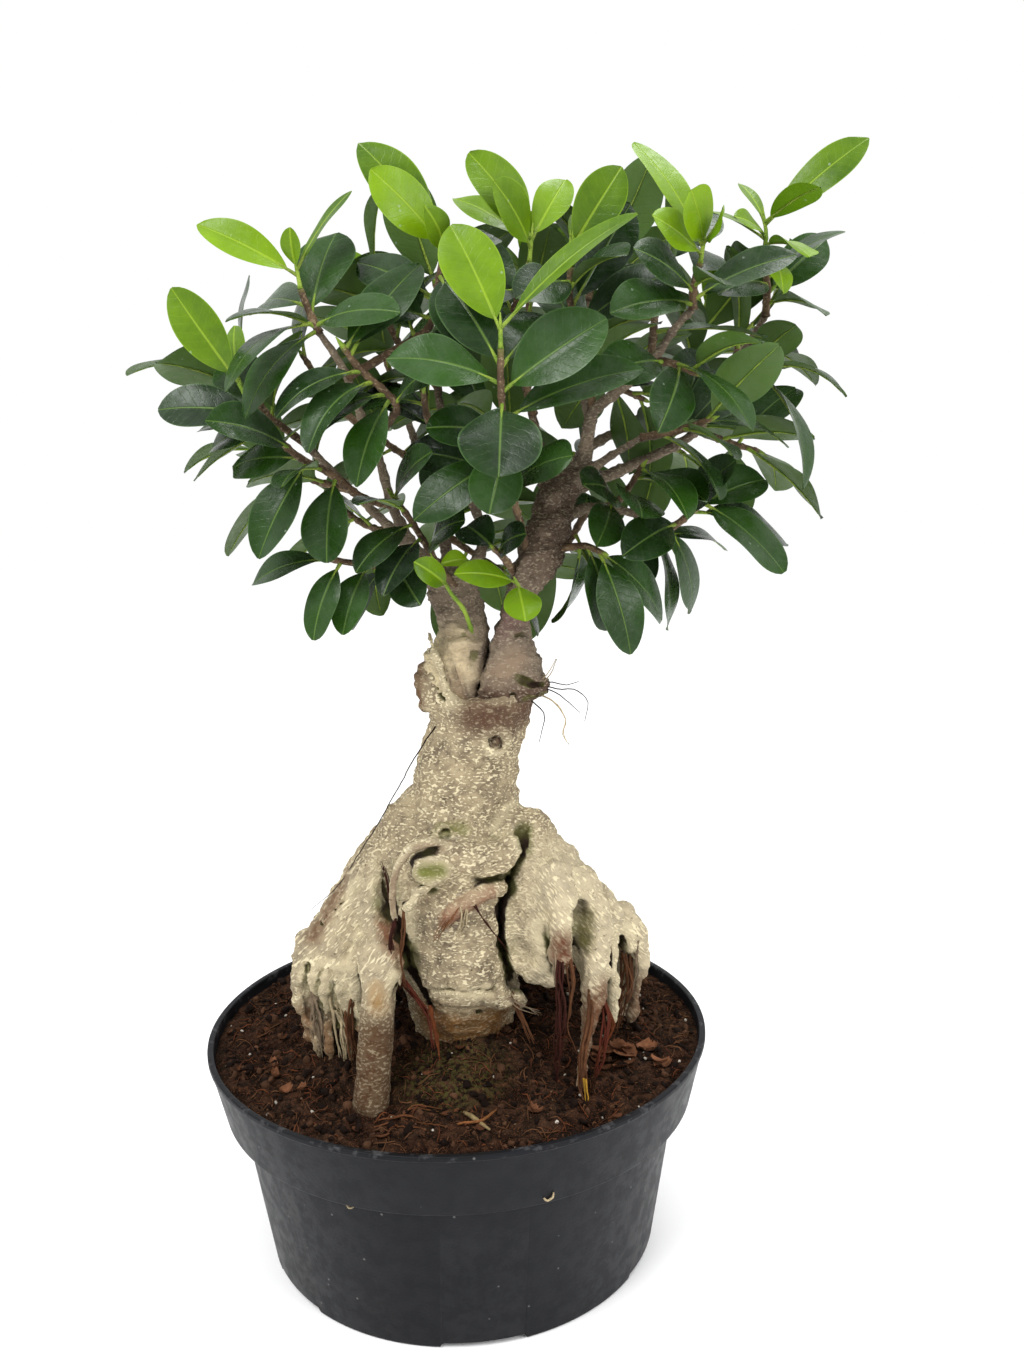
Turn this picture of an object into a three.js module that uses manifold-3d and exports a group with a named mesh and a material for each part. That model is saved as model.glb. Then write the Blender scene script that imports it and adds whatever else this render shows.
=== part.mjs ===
// Ficus ginseng bonsai in its nursery pot. Millimetres, +Z up.
// The origin is the centre of the pot's underside. The side with the long leg root faces -Y, and +X is to
// its right.
import * as THREE from 'three';
import { mergeVertices } from 'three/addons/utils/BufferGeometryUtils.js';
import Module from 'manifold-3d';

const wasm = await Module();
wasm.setup();

// Driving dimensions of the pot
const ROUND_SIDES = 40;
const POT_RIM_RADIUS = 115;
const POT_HEIGHT = 102;
const POT_BAND_RADIUS = 108.2;
const POT_BAND_BOTTOM = 72.6;
const POT_WALL_TOP_RADIUS = 101.5;
const POT_WALL_FOOT_RADIUS = 90.8;
const POT_WALL = 1.7;
const POT_RIM_WIDTH = 3;
const POT_RIM_DEPTH = 2.2;
const POT_RIM_STEP = 0.5;
const POT_FLOOR_UNDERSIDE = 3.4;
const POT_FLOOR_TOP = 5.4;
const POT_FOOT_INNER_RADIUS = 86;
const POT_FOOT_CHAMFER = 1.6;
const POT_PAD_RADIUS = 14;
const POT_PAD_SLOPE = 2;
const FOOT_NOTCHES = 6;
const FOOT_NOTCH_WIDTH = 38;
const FOOT_NOTCH_HEIGHT = 2.6;
const FOOT_NOTCH_DEPTH = 12;
const FIRST_NOTCH_DEGREES = -86;
const DRAIN_HOLES = 6;
const DRAIN_HOLE_RADIUS = 4.5;
const DRAIN_HOLE_SIDES = 8;
const DRAIN_HOLE_DEPTH = 12;
const DRAIN_RING_RADIUS = 70;

// Driving dimensions of the soil
const SOIL_EDGE_HEIGHT = 98;
const SOIL_MIDDLE_HEIGHT = 106;
const SOIL_RING_RADII = [104, 84, 58, 28];
const SOIL_BUMP = 1.3;
const SOIL_RIPPLES = [9, 11, 17];

// Clearance between neighbouring pieces
const GAP = 0.35;

// Mesh size of the swollen wood, and the sides of round stems
const ROOTSTOCK_CELL = 10.2;
const SCION_CELL = 6.72;
const GRID_MARGIN = 2.3;
const CHECKER_FILLING = -0.05;
const CLAW_SIDES = 7;
const LEG_SIDES = 8;
const THIN_ROOT_SIDES = 6;
const BRANCH_SIDES = 6;
const STEM_GUIDE = new THREE.Vector3(0.3, 1, 0.2);

// The graft: the rootstock's cut top, and the slanting cleft [x, z] that parts the two scions on it
const GRAFT_MIDDLE = [17, -4, 259];
const GRAFT_PLANE_TILT = THREE.MathUtils.degToRad(-6);
const CLEFT_FOOT = [13, 262];
const CLEFT_TOP = [21, 285];
const CUTTER_SIZE = 160;

// Leaves: outlines hold [share of the length, share of the width]
const CROWN_MIDDLE = new THREE.Vector3(28, 0, 385);
const LEAF_KEEL = 0.55;
const LEAF_FOLD = 0.12;
const LEAF_OUTLINE = [[0.32, 0.82], [0.6, 1], [0.83, 0.68]];
const BLADE_START = [0.13, 0.28];
const LEAF_OUTWARD = 0.7;
const LEAF_TRIES = 16;
const LEAF_SHRINK = 0.012;
const SIDE_BEND = 2.2;
const FRONT_BEND = 6;

// Spirals of leaves: lengths in millimetres, spreads from the twig in degrees, the rest as shares
const GOLDEN_ANGLE = THREE.MathUtils.degToRad(137.5);
const SPIRAL_FIRST_SHARE = 0.3;
const SPIRAL_SPREAD = 80;
const SPIRAL_NARROWING = 45;
const SPIRAL_SPREAD_RANGE = 12;
const SPIRAL_DROOP = 0.12;
const SPIRAL_LENGTH = 42;
const SPIRAL_LENGTH_RANGE = 12;
const SPIRAL_WIDTH = 0.42;
const SPIRAL_WIDTH_RANGE = 0.08;
const SPIRAL_ARCH = 0.05;
const SPIRAL_ARCH_RANGE = 0.08;

// Twigs
const TWIG_RADII = [1.7, 1.25];
const YOUNG_TWIG_RADII = [1, 0.7];
const TWIG_SIDES = 4;
const BUD_LENGTH = 6;
const BUD_TIP_RADIUS = 0.3;

// Colour and roughness of each kind of piece
const POT_FINISH = { color: 0x2d2e32, roughness: 0.45 };
const SOIL_FINISH = { color: 0x2d1c12, roughness: 1 };
const ROOTSTOCK_FINISH = { color: 0xb9a98c, roughness: 0.8 };
const SCION_FINISH = { color: 0x7d6a5e, roughness: 0.85 };
const DARK_LEAF_FINISH = { color: 0x2f4f2e, roughness: 0.4 };
const YOUNG_LEAF_FINISH = { color: 0x86b81f, roughness: 0.5 };

// A repeatable random number between 0 and 1
function seededRandom(seed) {
  let state = seed >>> 0;
  return () => {
    state = (state + 0x6D2B79F5) >>> 0;
    let mixed = Math.imul(state ^ (state >>> 15), state | 1);
    mixed ^= mixed + Math.imul(mixed ^ (mixed >>> 7), mixed | 61);
    return ((mixed ^ (mixed >>> 14)) >>> 0) / 4294967296;
  };
}

// Closed triangle lists become solids with their faces pointing out
function solidFromTriangles(positions, triangles) {
  const corner = (index) => new THREE.Vector3().fromArray(positions, index * 3);
  let volume = 0;
  for (const [a, b, c] of triangles) {
    volume += corner(a).dot(corner(b).cross(corner(c)));
  }
  const facing = triangles.map(([a, b, c]) => (volume > 0 ? [a, b, c] : [a, c, b]));
  return new wasm.Manifold(new wasm.Mesh({
    numProp: 3,
    vertProperties: Float32Array.from(positions),
    triVerts: Uint32Array.from(facing.flat()),
  }));
}

function solidFromGeometry(geometry) {
  const bare = geometry.clone();
  bare.deleteAttribute('normal');
  bare.deleteAttribute('uv');
  const merged = mergeVertices(bare, 1e-4);
  const index = merged.index.array;
  const triangles = [];
  for (let i = 0; i < index.length; i += 3) {
    const [a, b, c] = index.slice(i, i + 3);
    if (a !== b && b !== c && c !== a) {
      triangles.push([a, b, c]);
    }
  }
  return solidFromTriangles(Array.from(merged.attributes.position.array), triangles);
}

// Only the largest closed body is kept, so that no loose scrap or sealed hollow stays behind
function largestBody(solid) {
  const bodies = solid.decompose();
  bodies.sort((one, other) => other.volume() - one.volume());
  return bodies[0];
}

function joinAll(solids) {
  return solids.reduce((joined, solid) => joined.add(solid));
}

const group = new THREE.Group();

function addPiece(name, solid, finish) {
  const { vertProperties, triVerts, numProp } = solid.getMesh();
  const positions = [];
  for (let i = 0; i < vertProperties.length; i += numProp) {
    positions.push(vertProperties[i], vertProperties[i + 1], vertProperties[i + 2]);
  }
  const geometry = new THREE.BufferGeometry();
  geometry.setAttribute('position', new THREE.Float32BufferAttribute(positions, 3));
  geometry.setIndex(Array.from(triVerts));
  geometry.computeVertexNormals();
  const mesh = new THREE.Mesh(geometry, new THREE.MeshStandardMaterial({ ...finish, metalness: 0 }));
  mesh.name = name;
  group.add(mesh);
}

// A row of rings joined into a closed skin. The quads of a ring lean left and right by turns, so that the
// upper and the lower face of a leaf are split alike. A ring of one point is a pointed end.
function loft(rings) {
  const positions = [];
  const starts = [];
  for (const ring of rings) {
    starts.push(positions.length / 3);
    ring.forEach((point) => positions.push(point.x, point.y, point.z));
  }
  const sides = rings[1].length;
  const triangles = [];
  for (let i = 0; i + 1 < rings.length; i += 1) {
    const low = starts[i];
    const high = starts[i + 1];
    for (let j = 0; j < sides; j += 1) {
      const next = (j + 1) % sides;
      if (rings[i].length === 1) {
        triangles.push([low, high + next, high + j]);
      } else if (rings[i + 1].length === 1) {
        triangles.push([low + j, low + next, high]);
      } else if (j % 2 === 0) {
        triangles.push([low + j, low + next, high + next], [low + j, high + next, high + j]);
      } else {
        triangles.push([low + j, low + next, high + j], [low + next, high + next, high + j]);
      }
    }
  }
  for (let j = 1; j + 1 < sides; j += 1) {
    if (rings[0].length === sides) {
      triangles.push([starts[0], starts[0] + j + 1, starts[0] + j]);
    }
    if (rings.at(-1).length === sides) {
      triangles.push([starts.at(-1), starts.at(-1) + j, starts.at(-1) + j + 1]);
    }
  }
  return solidFromTriangles(positions, triangles);
}

// A round stem along points [x, y, z, radius]. grow makes it fatter, for the clearance that is cut from
// others.
function stem(path, sides, grow = 0) {
  const points = path.map(([x, y, z]) => new THREE.Vector3(x, y, z));
  const last = points.length - 1;
  const rings = points.map((point, i) => {
    const before = points[Math.max(i - 1, 0)];
    const after = points[Math.min(i + 1, last)];
    const along = after.clone().sub(before).normalize();
    const across = STEM_GUIDE.clone().cross(along).normalize();
    const third = along.clone().cross(across);
    const end = i === 0 ? -grow : (i === last ? grow : 0);
    const radius = path[i][3] + grow;
    return Array.from({ length: sides }, (_, j) => {
      const angle = (j / sides) * 2 * Math.PI;
      return point.clone()
        .addScaledVector(along, end)
        .addScaledVector(across, radius * Math.cos(angle))
        .addScaledVector(third, radius * Math.sin(angle));
    });
  });
  return loft(rings);
}

// Swollen wood is a blend of round bars along chains of points [x, y, z, radius]
function barDistance(point, from, to) {
  const along = [to[0] - from[0], to[1] - from[1], to[2] - from[2]];
  const offset = [point[0] - from[0], point[1] - from[1], point[2] - from[2]];
  const length2 = along[0] ** 2 + along[1] ** 2 + along[2] ** 2;
  const share = (offset[0] * along[0] + offset[1] * along[1] + offset[2] * along[2]) / length2;
  const t = Math.min(1, Math.max(0, share));
  const gap = Math.hypot(offset[0] - t * along[0], offset[1] - t * along[1], offset[2] - t * along[2]);
  return gap - from[3] - t * (to[3] - from[3]);
}

function woodDistance(chains, point) {
  let distance = Infinity;
  for (const { blend, points } of chains) {
    let nearest = Infinity;
    for (let i = 0; i + 1 < points.length; i += 1) {
      nearest = Math.min(nearest, barDistance(point, points[i], points[i + 1]));
    }
    const closeness = Math.max(blend - Math.abs(distance - nearest), 0) / blend;
    distance = Math.min(distance, nearest) - (closeness * closeness * blend) / 4;
  }
  return distance;
}

// Where the corners of a grid square are wood and air by turns, one air corner becomes wood, so that no edge
// of the skin is shared by four faces
function fillCheckers(value, [nx, ny, nz], at, filling) {
  const squares = [[[0, 1, 0], [0, 0, 1]], [[0, 0, 1], [1, 0, 0]], [[1, 0, 0], [0, 1, 0]]];
  let filled = true;
  while (filled) {
    filled = false;
    for (let i = 0; i < nx; i += 1) {
      for (let j = 0; j < ny; j += 1) {
        for (let k = 0; k < nz; k += 1) {
          for (const [u, v] of squares) {
            const corners = [[0, 0], [1, 0], [1, 1], [0, 1]].map(([a, b]) => at(
              i + a * u[0] + b * v[0], j + a * u[1] + b * v[1], k + a * u[2] + b * v[2]));
            const wood = corners.map((corner) => value[corner] < 0);
            if (wood[0] === wood[2] && wood[1] === wood[3] && wood[0] !== wood[1]) {
              value[wood[0] ? corners[1] : corners[0]] = filling;
              filled = true;
            }
          }
        }
      }
    }
  }
}

// One vertex in each grid cell that the wood's surface crosses, joined by a quad round each crossed grid edge
function blendedWood(chains, cell, grow = 0) {
  const all = chains.flatMap(({ points }) => points);
  const margin = GRID_MARGIN * cell;
  const low = [0, 1, 2].map((k) => Math.min(...all.map((p) => p[k] - p[3])) - margin);
  const high = [0, 1, 2].map((k) => Math.max(...all.map((p) => p[k] + p[3])) + margin);
  const [nx, ny, nz] = [0, 1, 2].map((k) => Math.ceil((high[k] - low[k]) / cell));
  const at = (i, j, k) => (i * (ny + 1) + j) * (nz + 1) + k;
  const place = (i, j, k) => [low[0] + i * cell, low[1] + j * cell, low[2] + k * cell];
  const value = new Float64Array((nx + 1) * (ny + 1) * (nz + 1));
  for (let i = 0; i <= nx; i += 1) {
    for (let j = 0; j <= ny; j += 1) {
      for (let k = 0; k <= nz; k += 1) {
        value[at(i, j, k)] = woodDistance(chains, place(i, j, k)) - grow;
      }
    }
  }
  const steps = [[1, 0, 0], [0, 1, 0], [0, 0, 1]];
  fillCheckers(value, [nx, ny, nz], at, CHECKER_FILLING * cell);
  const positions = [];
  const vertexOf = new Map();
  for (let i = 0; i < nx; i += 1) {
    for (let j = 0; j < ny; j += 1) {
      for (let k = 0; k < nz; k += 1) {
        const sum = [0, 0, 0];
        let crossings = 0;
        for (let axis = 0; axis < 3; axis += 1) {
          const [u, v] = [steps[(axis + 1) % 3], steps[(axis + 2) % 3]];
          for (const [a, b] of [[0, 0], [1, 0], [0, 1], [1, 1]]) {
            const [x, y, z] = [i + a * u[0] + b * v[0], j + a * u[1] + b * v[1], k + a * u[2] + b * v[2]];
            const step = steps[axis];
            const first = value[at(x, y, z)];
            const second = value[at(x + step[0], y + step[1], z + step[2])];
            if ((first < 0) !== (second < 0)) {
              const share = first / (first - second);
              const corner = place(x, y, z);
              step.forEach((s, n) => { sum[n] += corner[n] + share * s * cell; });
              crossings += 1;
            }
          }
        }
        if (crossings > 0) {
          vertexOf.set(at(i, j, k), positions.length / 3);
          positions.push(...sum.map((total) => total / crossings));
        }
      }
    }
  }
  const triangles = [];
  const cornerGap = (a, b) => (
    Math.hypot(...[0, 1, 2].map((n) => positions[a * 3 + n] - positions[b * 3 + n])));
  for (let i = 1; i < nx; i += 1) {
    for (let j = 1; j < ny; j += 1) {
      for (let k = 1; k < nz; k += 1) {
        for (let axis = 0; axis < 3; axis += 1) {
          const step = steps[axis];
          const inside = value[at(i, j, k)] < 0;
          if (inside === value[at(i + step[0], j + step[1], k + step[2])] < 0) {
            continue;
          }
          const [u, v] = [steps[(axis + 1) % 3], steps[(axis + 2) % 3]];
          const round = [[0, 0], [1, 0], [1, 1], [0, 1]].map(([a, b]) => vertexOf.get(
            at(i - a * u[0] - b * v[0], j - a * u[1] - b * v[1], k - a * u[2] - b * v[2])));
          const quad = inside ? round : round.reverse();
          if (cornerGap(quad[0], quad[2]) < cornerGap(quad[1], quad[3])) {
            triangles.push([quad[0], quad[1], quad[2]], [quad[0], quad[2], quad[3]]);
          } else {
            triangles.push([quad[1], quad[2], quad[3]], [quad[1], quad[3], quad[0]]);
          }
        }
      }
    }
  }
  return solidFromTriangles(positions, triangles);
}

// The pot: one profile turned round the axis, with notches in its foot ring and drain holes in its floor
function lathe(profile) {
  const points = profile.map(([radius, height]) => new THREE.Vector2(radius, height));
  return new THREE.LatheGeometry(points, ROUND_SIDES).rotateX(Math.PI / 2);
}

const bandSlope = (POT_RIM_RADIUS - POT_BAND_RADIUS) / (POT_HEIGHT - POT_BAND_BOTTOM);
const wallSlope = (POT_WALL_TOP_RADIUS - POT_WALL_FOOT_RADIUS) / POT_BAND_BOTTOM;
const bandOutside = (z) => POT_BAND_RADIUS + bandSlope * (z - POT_BAND_BOTTOM);
const wallOutside = (z) => POT_WALL_FOOT_RADIUS + wallSlope * z;
const LEDGE_TOP = POT_BAND_BOTTOM + POT_WALL;

function buildPot() {
  const rimUnderside = POT_HEIGHT - POT_RIM_DEPTH;
  const profile = [
    [0, 0], [POT_PAD_RADIUS, 0], [POT_PAD_RADIUS + POT_PAD_SLOPE, POT_FLOOR_UNDERSIDE],
    [POT_FOOT_INNER_RADIUS, POT_FLOOR_UNDERSIDE], [POT_FOOT_INNER_RADIUS, 0],
    [POT_WALL_FOOT_RADIUS - POT_FOOT_CHAMFER, 0], [wallOutside(POT_FOOT_CHAMFER), POT_FOOT_CHAMFER],
    [wallOutside(POT_BAND_BOTTOM), POT_BAND_BOTTOM], [POT_BAND_RADIUS, POT_BAND_BOTTOM],
    [bandOutside(rimUnderside), rimUnderside], [POT_RIM_RADIUS, rimUnderside + POT_RIM_STEP],
    [POT_RIM_RADIUS, POT_HEIGHT], [POT_RIM_RADIUS - POT_RIM_WIDTH, POT_HEIGHT],
    [bandOutside(rimUnderside) - POT_WALL, rimUnderside - POT_RIM_STEP],
    [bandOutside(LEDGE_TOP) - POT_WALL, LEDGE_TOP],
    [wallOutside(LEDGE_TOP) - POT_WALL, LEDGE_TOP], [wallOutside(POT_FLOOR_TOP) - POT_WALL, POT_FLOOR_TOP],
    [0, POT_FLOOR_TOP],
  ];
  let pot = solidFromGeometry(lathe(profile));
  for (let i = 0; i < FOOT_NOTCHES; i += 1) {
    const notch = new THREE.BoxGeometry(FOOT_NOTCH_DEPTH, FOOT_NOTCH_WIDTH, 2 * FOOT_NOTCH_HEIGHT);
    notch.translate(POT_WALL_FOOT_RADIUS, 0, 0);
    notch.rotateZ(THREE.MathUtils.degToRad(FIRST_NOTCH_DEGREES) + (i * 2 * Math.PI) / FOOT_NOTCHES);
    pot = pot.subtract(solidFromGeometry(notch));
  }
  for (let i = 0; i < DRAIN_HOLES; i += 1) {
    const hole = new THREE.CylinderGeometry(
      DRAIN_HOLE_RADIUS, DRAIN_HOLE_RADIUS, DRAIN_HOLE_DEPTH, DRAIN_HOLE_SIDES);
    hole.rotateX(Math.PI / 2).translate(DRAIN_RING_RADIUS, 0, POT_FLOOR_TOP);
    hole.rotateZ(((i + 0.5) * 2 * Math.PI) / DRAIN_HOLES);
    pot = pot.subtract(solidFromGeometry(hole));
  }
  return pot;
}

// The soil's top is a low mound with gentle bumps that die out at the pot's wall
function soilHeight(x, y) {
  const [xRipple, yRipple, slantRipple] = SOIL_RIPPLES;
  const share = Math.min(Math.hypot(x, y) / SOIL_RING_RADII[0], 1);
  const mound = SOIL_EDGE_HEIGHT + (SOIL_MIDDLE_HEIGHT - SOIL_EDGE_HEIGHT) * (1 - share * share);
  const bumps = Math.sin(x / xRipple) * Math.sin(y / yRipple) + Math.sin((x + y) / slantRipple) / 2;
  return mound + SOIL_BUMP * bumps * (1 - share ** 6);
}

function soilBlock(lift) {
  const inset = POT_WALL + GAP;
  const profile = [
    [0, POT_FLOOR_TOP + GAP], [wallOutside(POT_FLOOR_TOP) - inset, POT_FLOOR_TOP + GAP],
    [wallOutside(LEDGE_TOP) - inset, LEDGE_TOP + GAP], [bandOutside(LEDGE_TOP) - inset, LEDGE_TOP + GAP],
    [bandOutside(SOIL_EDGE_HEIGHT) - inset, SOIL_EDGE_HEIGHT],
    ...SOIL_RING_RADII.map((radius) => [radius, SOIL_EDGE_HEIGHT]), [0, SOIL_EDGE_HEIGHT],
  ];
  const geometry = lathe(profile);
  const place = geometry.attributes.position;
  for (let i = 0; i < place.count; i += 1) {
    const [x, y, z] = [place.getX(i), place.getY(i), place.getZ(i)];
    if (z > SOIL_EDGE_HEIGHT - 1) {
      place.setZ(i, soilHeight(x, y) + lift);
    }
  }
  return solidFromGeometry(geometry);
}

// The rootstock's swollen wood: neck, belly, lobes, the upper ends of its legs and the folds across its front
const ROOTSTOCK_CHAINS = [
  { blend: 12, points: [[18, -4, 272, 22], [14, -4, 250, 22], [10, -4, 233, 21], [6, -4, 214, 24],
    [1, -6, 198, 26.5], [-2, -10, 176, 33], [0, -14, 152, 33], [2, -18, 126, 25], [3, -20, 92, 18]] },
  { blend: 10, points: [[0, -30, 188, 19], [2, -35, 162, 22], [4, -36, 142, 19], [5, -32, 128, 15]] },
  { blend: 12, points: [[-14, -12, 188, 22], [-32, -16, 170, 21], [-47, -20, 154, 18], [-57, -24, 138, 13]] },
  { blend: 8, points: [[-22, -28, 182, 13], [-28, -38, 168, 11], [-32, -50, 150, 9.5]] },
  { blend: 9, points: [[24, -14, 190, 17], [41, -20, 176, 18], [56, -24, 161, 16.5], [71, -25, 145, 12]] },
  { blend: 9, points: [[40, -30, 174, 15], [56, -34, 156, 15], [60, -40, 140, 11.5]] },
  { blend: 9, points: [[52, -6, 160, 16], [67, -1, 144, 12.5], [75, 0, 130, 10]] },
  { blend: 12, points: [[-8, 10, 190, 21], [-20, 25, 168, 20], [-34, 36, 138, 14], [-40, 44, 116, 10]] },
  { blend: 12, points: [[12, 10, 188, 20], [26, 26, 163, 19], [38, 35, 137, 14], [45, 42, 116, 10]] },
  { blend: 12, points: [[0, 16, 180, 24], [0, 32, 150, 18], [-2, 42, 118, 12]] },
  { blend: 5, points: [[-20, -34, 152, 8], [-6, -44, 141, 9], [10, -46, 134, 9], [26, -41, 130, 7.5]] },
  { blend: 5, points: [[-13, -40, 193, 9.5], [4, -41, 202, 9.5], [28, -28, 200, 9.5]] },
];

// Claws that grow down from the swollen wood and end over the soil
const CLAWS = [
  [[-62, -25, 136, 9], [-66, -29, 120, 5.8], [-62, -31, 102, 3]],
  [[-54, -30, 136, 9], [-56, -36, 117, 5.6], [-53, -39, 100, 3]],
  [[-46, -32, 134, 8], [-47, -38, 115, 5], [-45, -41, 99, 2.8]],
  [[-60, -14, 138, 9.5], [-67, -10, 119, 5.8], [-65, -8, 100, 3.4]],
  [[74, -25, 144, 10], [80, -22, 122, 5.8], [79, -21, 102, 3.4]],
  [[42, -38, 168, 11], [44, -48, 156, 8.6], [44, -52, 146, 5]],
];

// Legs that go on down into plain holes in the soil
const LEGS = [
  [[3, -19, 126, 20], [3, -20, 104, 16], [3, -20, 52, 12]],
  [[-32, -50, 150, 9.2], [-34.5, -60, 130, 7.6], [-36.8, -71, 102, 7.6], [-37, -72, 50, 6]],
  [[60, -41, 140, 10.6], [55, -51, 118, 7.4], [51, -62, 100, 5], [50, -64, 62, 3]],
  [[76, 0, 131, 9.4], [78, 2, 112, 6.4], [78, 2, 66, 4]],
  [[-40, 44, 118, 10], [-43, 48, 102, 7.6], [-43, 48, 58, 6]],
  [[45, 42, 118, 10], [49, 47, 102, 7.6], [49, 47, 58, 6]],
  [[-2, 42, 118, 12], [-2, 43, 102, 9.4], [-2, 43, 56, 7]],
];

// Thin roots that stand free of the swollen wood
const THIN_ROOTS = [
  [[-2, -42, 196, 2.8], [-13, -52, 199, 2.9], [-21, -55, 193, 2.8], [-26, -56, 182, 2.6], [-26, -57, 171, 2]],
  [[44, -46, 152, 3.2], [45, -54, 132, 2.4], [46, -58, 116, 2], [44, -59, 108.5, 1.6]],
  [[60, -44, 132, 3.4], [62, -52, 122, 2.2], [60, -58, 110, 1.7], [57, -61, 107, 1.2]],
  [[66, -30, 146, 4], [70, -34, 130, 2.6], [69, -36, 116, 1.8]],
];

// A large block for cutting wood: moved by shift, tilted about the Y axis, then moved to place
function cutter(shift, tilt, place) {
  const block = new THREE.BoxGeometry(CUTTER_SIZE, CUTTER_SIZE, CUTTER_SIZE).translate(...shift);
  return solidFromGeometry(block.rotateY(tilt).translate(...place));
}

function aboveGraft(lift) {
  return cutter([0, 0, CUTTER_SIZE / 2 + lift], GRAFT_PLANE_TILT, GRAFT_MIDDLE);
}

function buildRootstock() {
  const swollen = blendedWood(ROOTSTOCK_CHAINS, ROOTSTOCK_CELL).subtract(aboveGraft(0));
  const claws = CLAWS.map((path) => stem(path, CLAW_SIDES));
  const overSoil = joinAll([swollen, ...claws]).subtract(soilBlock(GAP));
  const legs = LEGS.map((path) => stem(path, LEG_SIDES));
  const thin = THIN_ROOTS.map((path) => stem(path, THIN_ROOT_SIDES));
  return largestBody(joinAll([largestBody(overSoil), ...legs, ...thin]));
}

// The swollen feet of the two scions
const LEFT_SCION = [
  { blend: 6, points: [[2, -5, 252, 14.5], [6, -5, 272, 13.4], [8, -5, 288, 11], [4, -5, 306, 9.8]] },
  { blend: 4, points: [[-7, -8, 276, 6], [-6, -11, 256, 6]] },
  { blend: 5, points: [[4, -5, 304, 8], [-2, -8, 313, 5]] },
];
const RIGHT_SCION = [
  { blend: 6, points: [[28, -6, 252, 15.5], [28, -8, 270, 13.6], [28, -10, 284, 9.6], [28, -9, 298, 8.6],
    [33, -7, 308, 9.6], [41, -5, 318, 9.6]] },
  { blend: 5, points: [[41, -5, 318, 10], [47, 0, 332, 9.6], [50, 4, 342, 8.4], [55, 5, 350, 6]] },
  { blend: 4, points: [[34, -12, 270, 7], [33, -13, 260, 7]] },
];

// Woody branches as [x, y, z, radius]
const LEFT_BRANCHES = [
  [[2, -6, 304, 5], [-4, -8, 313, 3.6], [-12, -10, 323, 2.7], [-17, -12, 333, 2.3], [-21, -12, 342, 2.1],
    [-25, -15, 360, 1.9], [-30, -20, 373, 1.8], [-37, -30, 396, 1.5], [-46, -34, 411, 1.3]],
  [[6, -3, 304, 3.6], [18, 5, 325, 2.2], [12, 8, 345, 1.9], [5, 10, 367, 1.8], [0, 14, 392, 1.6],
    [4, 18, 418, 1.4]],
  [[-2, -6, 310, 3.4], [-20, 14, 328, 2.3], [-40, 20, 348, 1.8], [-58, 12, 368, 1.5]],
  [[4, 0, 302, 3.6], [0, 22, 328, 2.4], [-8, 38, 358, 2], [-18, 56, 390, 1.5]],
];
const RIGHT_BRANCHES = [
  [[50, 4, 342, 6], [57, 6, 352, 4.6], [63, 5, 359, 3.2], [64, 0, 368, 2.8], [66, -5, 379, 2.5],
    [75, -15, 387, 2.1], [87, -28, 398, 1.8], [96, -35, 411, 1.5], [102, -38, 417, 1.3]],
  [[53, 5, 346, 3.4], [72, -8, 360, 1.6], [85, -15, 368, 1.3]],
  [[54, 6, 346, 4], [85, 16, 356, 2.4], [115, 15, 371, 2], [131, 10, 398, 1.8], [139, 8, 412, 1.5],
    [143, 6, 419, 1.3]],
  [[53, 6, 344, 4], [66, 32, 362, 2.5], [74, 52, 384, 1.9], [75, 60, 402, 1.5]],
  [[67, 34, 364, 2.3], [92, 46, 377, 1.8], [113, 52, 390, 1.4]],
  [[48, 4, 340, 4], [44, 14, 366, 2.2], [38, 18, 396, 1.6]],
  [[46, 0, 330, 4], [65, 10, 338, 2.3], [89, 10, 334, 1.7], [97, 0, 326, 1.4]],
  [[65, -3, 374, 2.4], [62, 3, 400, 1.7], [66, 8, 426, 1.4]],
];

// Wood on the left of the cleft has side -1 and wood on its right has side 1
function buildScion(chains, side, grow = 0) {
  const [footX, footZ] = CLEFT_FOOT;
  const [topX, topZ] = CLEFT_TOP;
  const lean = Math.atan2(topX - footX, topZ - footZ);
  const beyond = cutter([side * (GAP / 2 - grow - CUTTER_SIZE / 2), 0, 0], lean, [footX, 0, footZ]);
  const wood = blendedWood(chains, SCION_CELL, grow).intersect(aboveGraft(GAP - grow));
  return largestBody(wood.subtract(beyond));
}

function buildGraft(chains, branches, side) {
  const boughs = branches.map((path) => stem(path, BRANCH_SIDES));
  return largestBody(joinAll([buildScion(chains, side), ...boughs]));
}

// Leaf blades: three-cornered rings from the twig to the tip, each the left edge, the right edge and the keel
// of the rib below them
function leafRings(base, offset, leaf, outline, grow) {
  const { width, arch, front } = leaf;
  const length = offset.length();
  const along = offset.clone().normalize();
  const outward = new THREE.Vector3(base.x - CROWN_MIDDLE.x, base.y - CROWN_MIDDLE.y, 0).normalize();
  const open = outward.multiplyScalar(LEAF_OUTWARD).add(new THREE.Vector3(0, -front, 1));
  const face = open.addScaledVector(along, -open.dot(along)).normalize();
  const side = along.clone().cross(face);
  const rings = [];
  for (const [share, wide] of outline) {
    const middle = base.clone().addScaledVector(along, length * share)
      .addScaledVector(face, length * arch * 4 * share * (1 - share));
    const up = face.clone().addScaledVector(along, -arch * 4 * (1 - 2 * share)).normalize();
    const half = (width / 2) * wide + grow;
    const fold = half * LEAF_FOLD + grow;
    const edge = (turn) => middle.clone().addScaledVector(side, half * turn).addScaledVector(up, fold);
    rings.push([edge(-1), edge(1), middle.clone().addScaledVector(up, -LEAF_KEEL - grow)]);
  }
  rings.push([base.clone().add(offset).addScaledVector(along, grow)]);
  return rings;
}

function boxesMeet(one, other) {
  return [0, 1, 2].every((k) => one.min[k] < other.max[k] && other.min[k] < one.max[k]);
}

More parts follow.
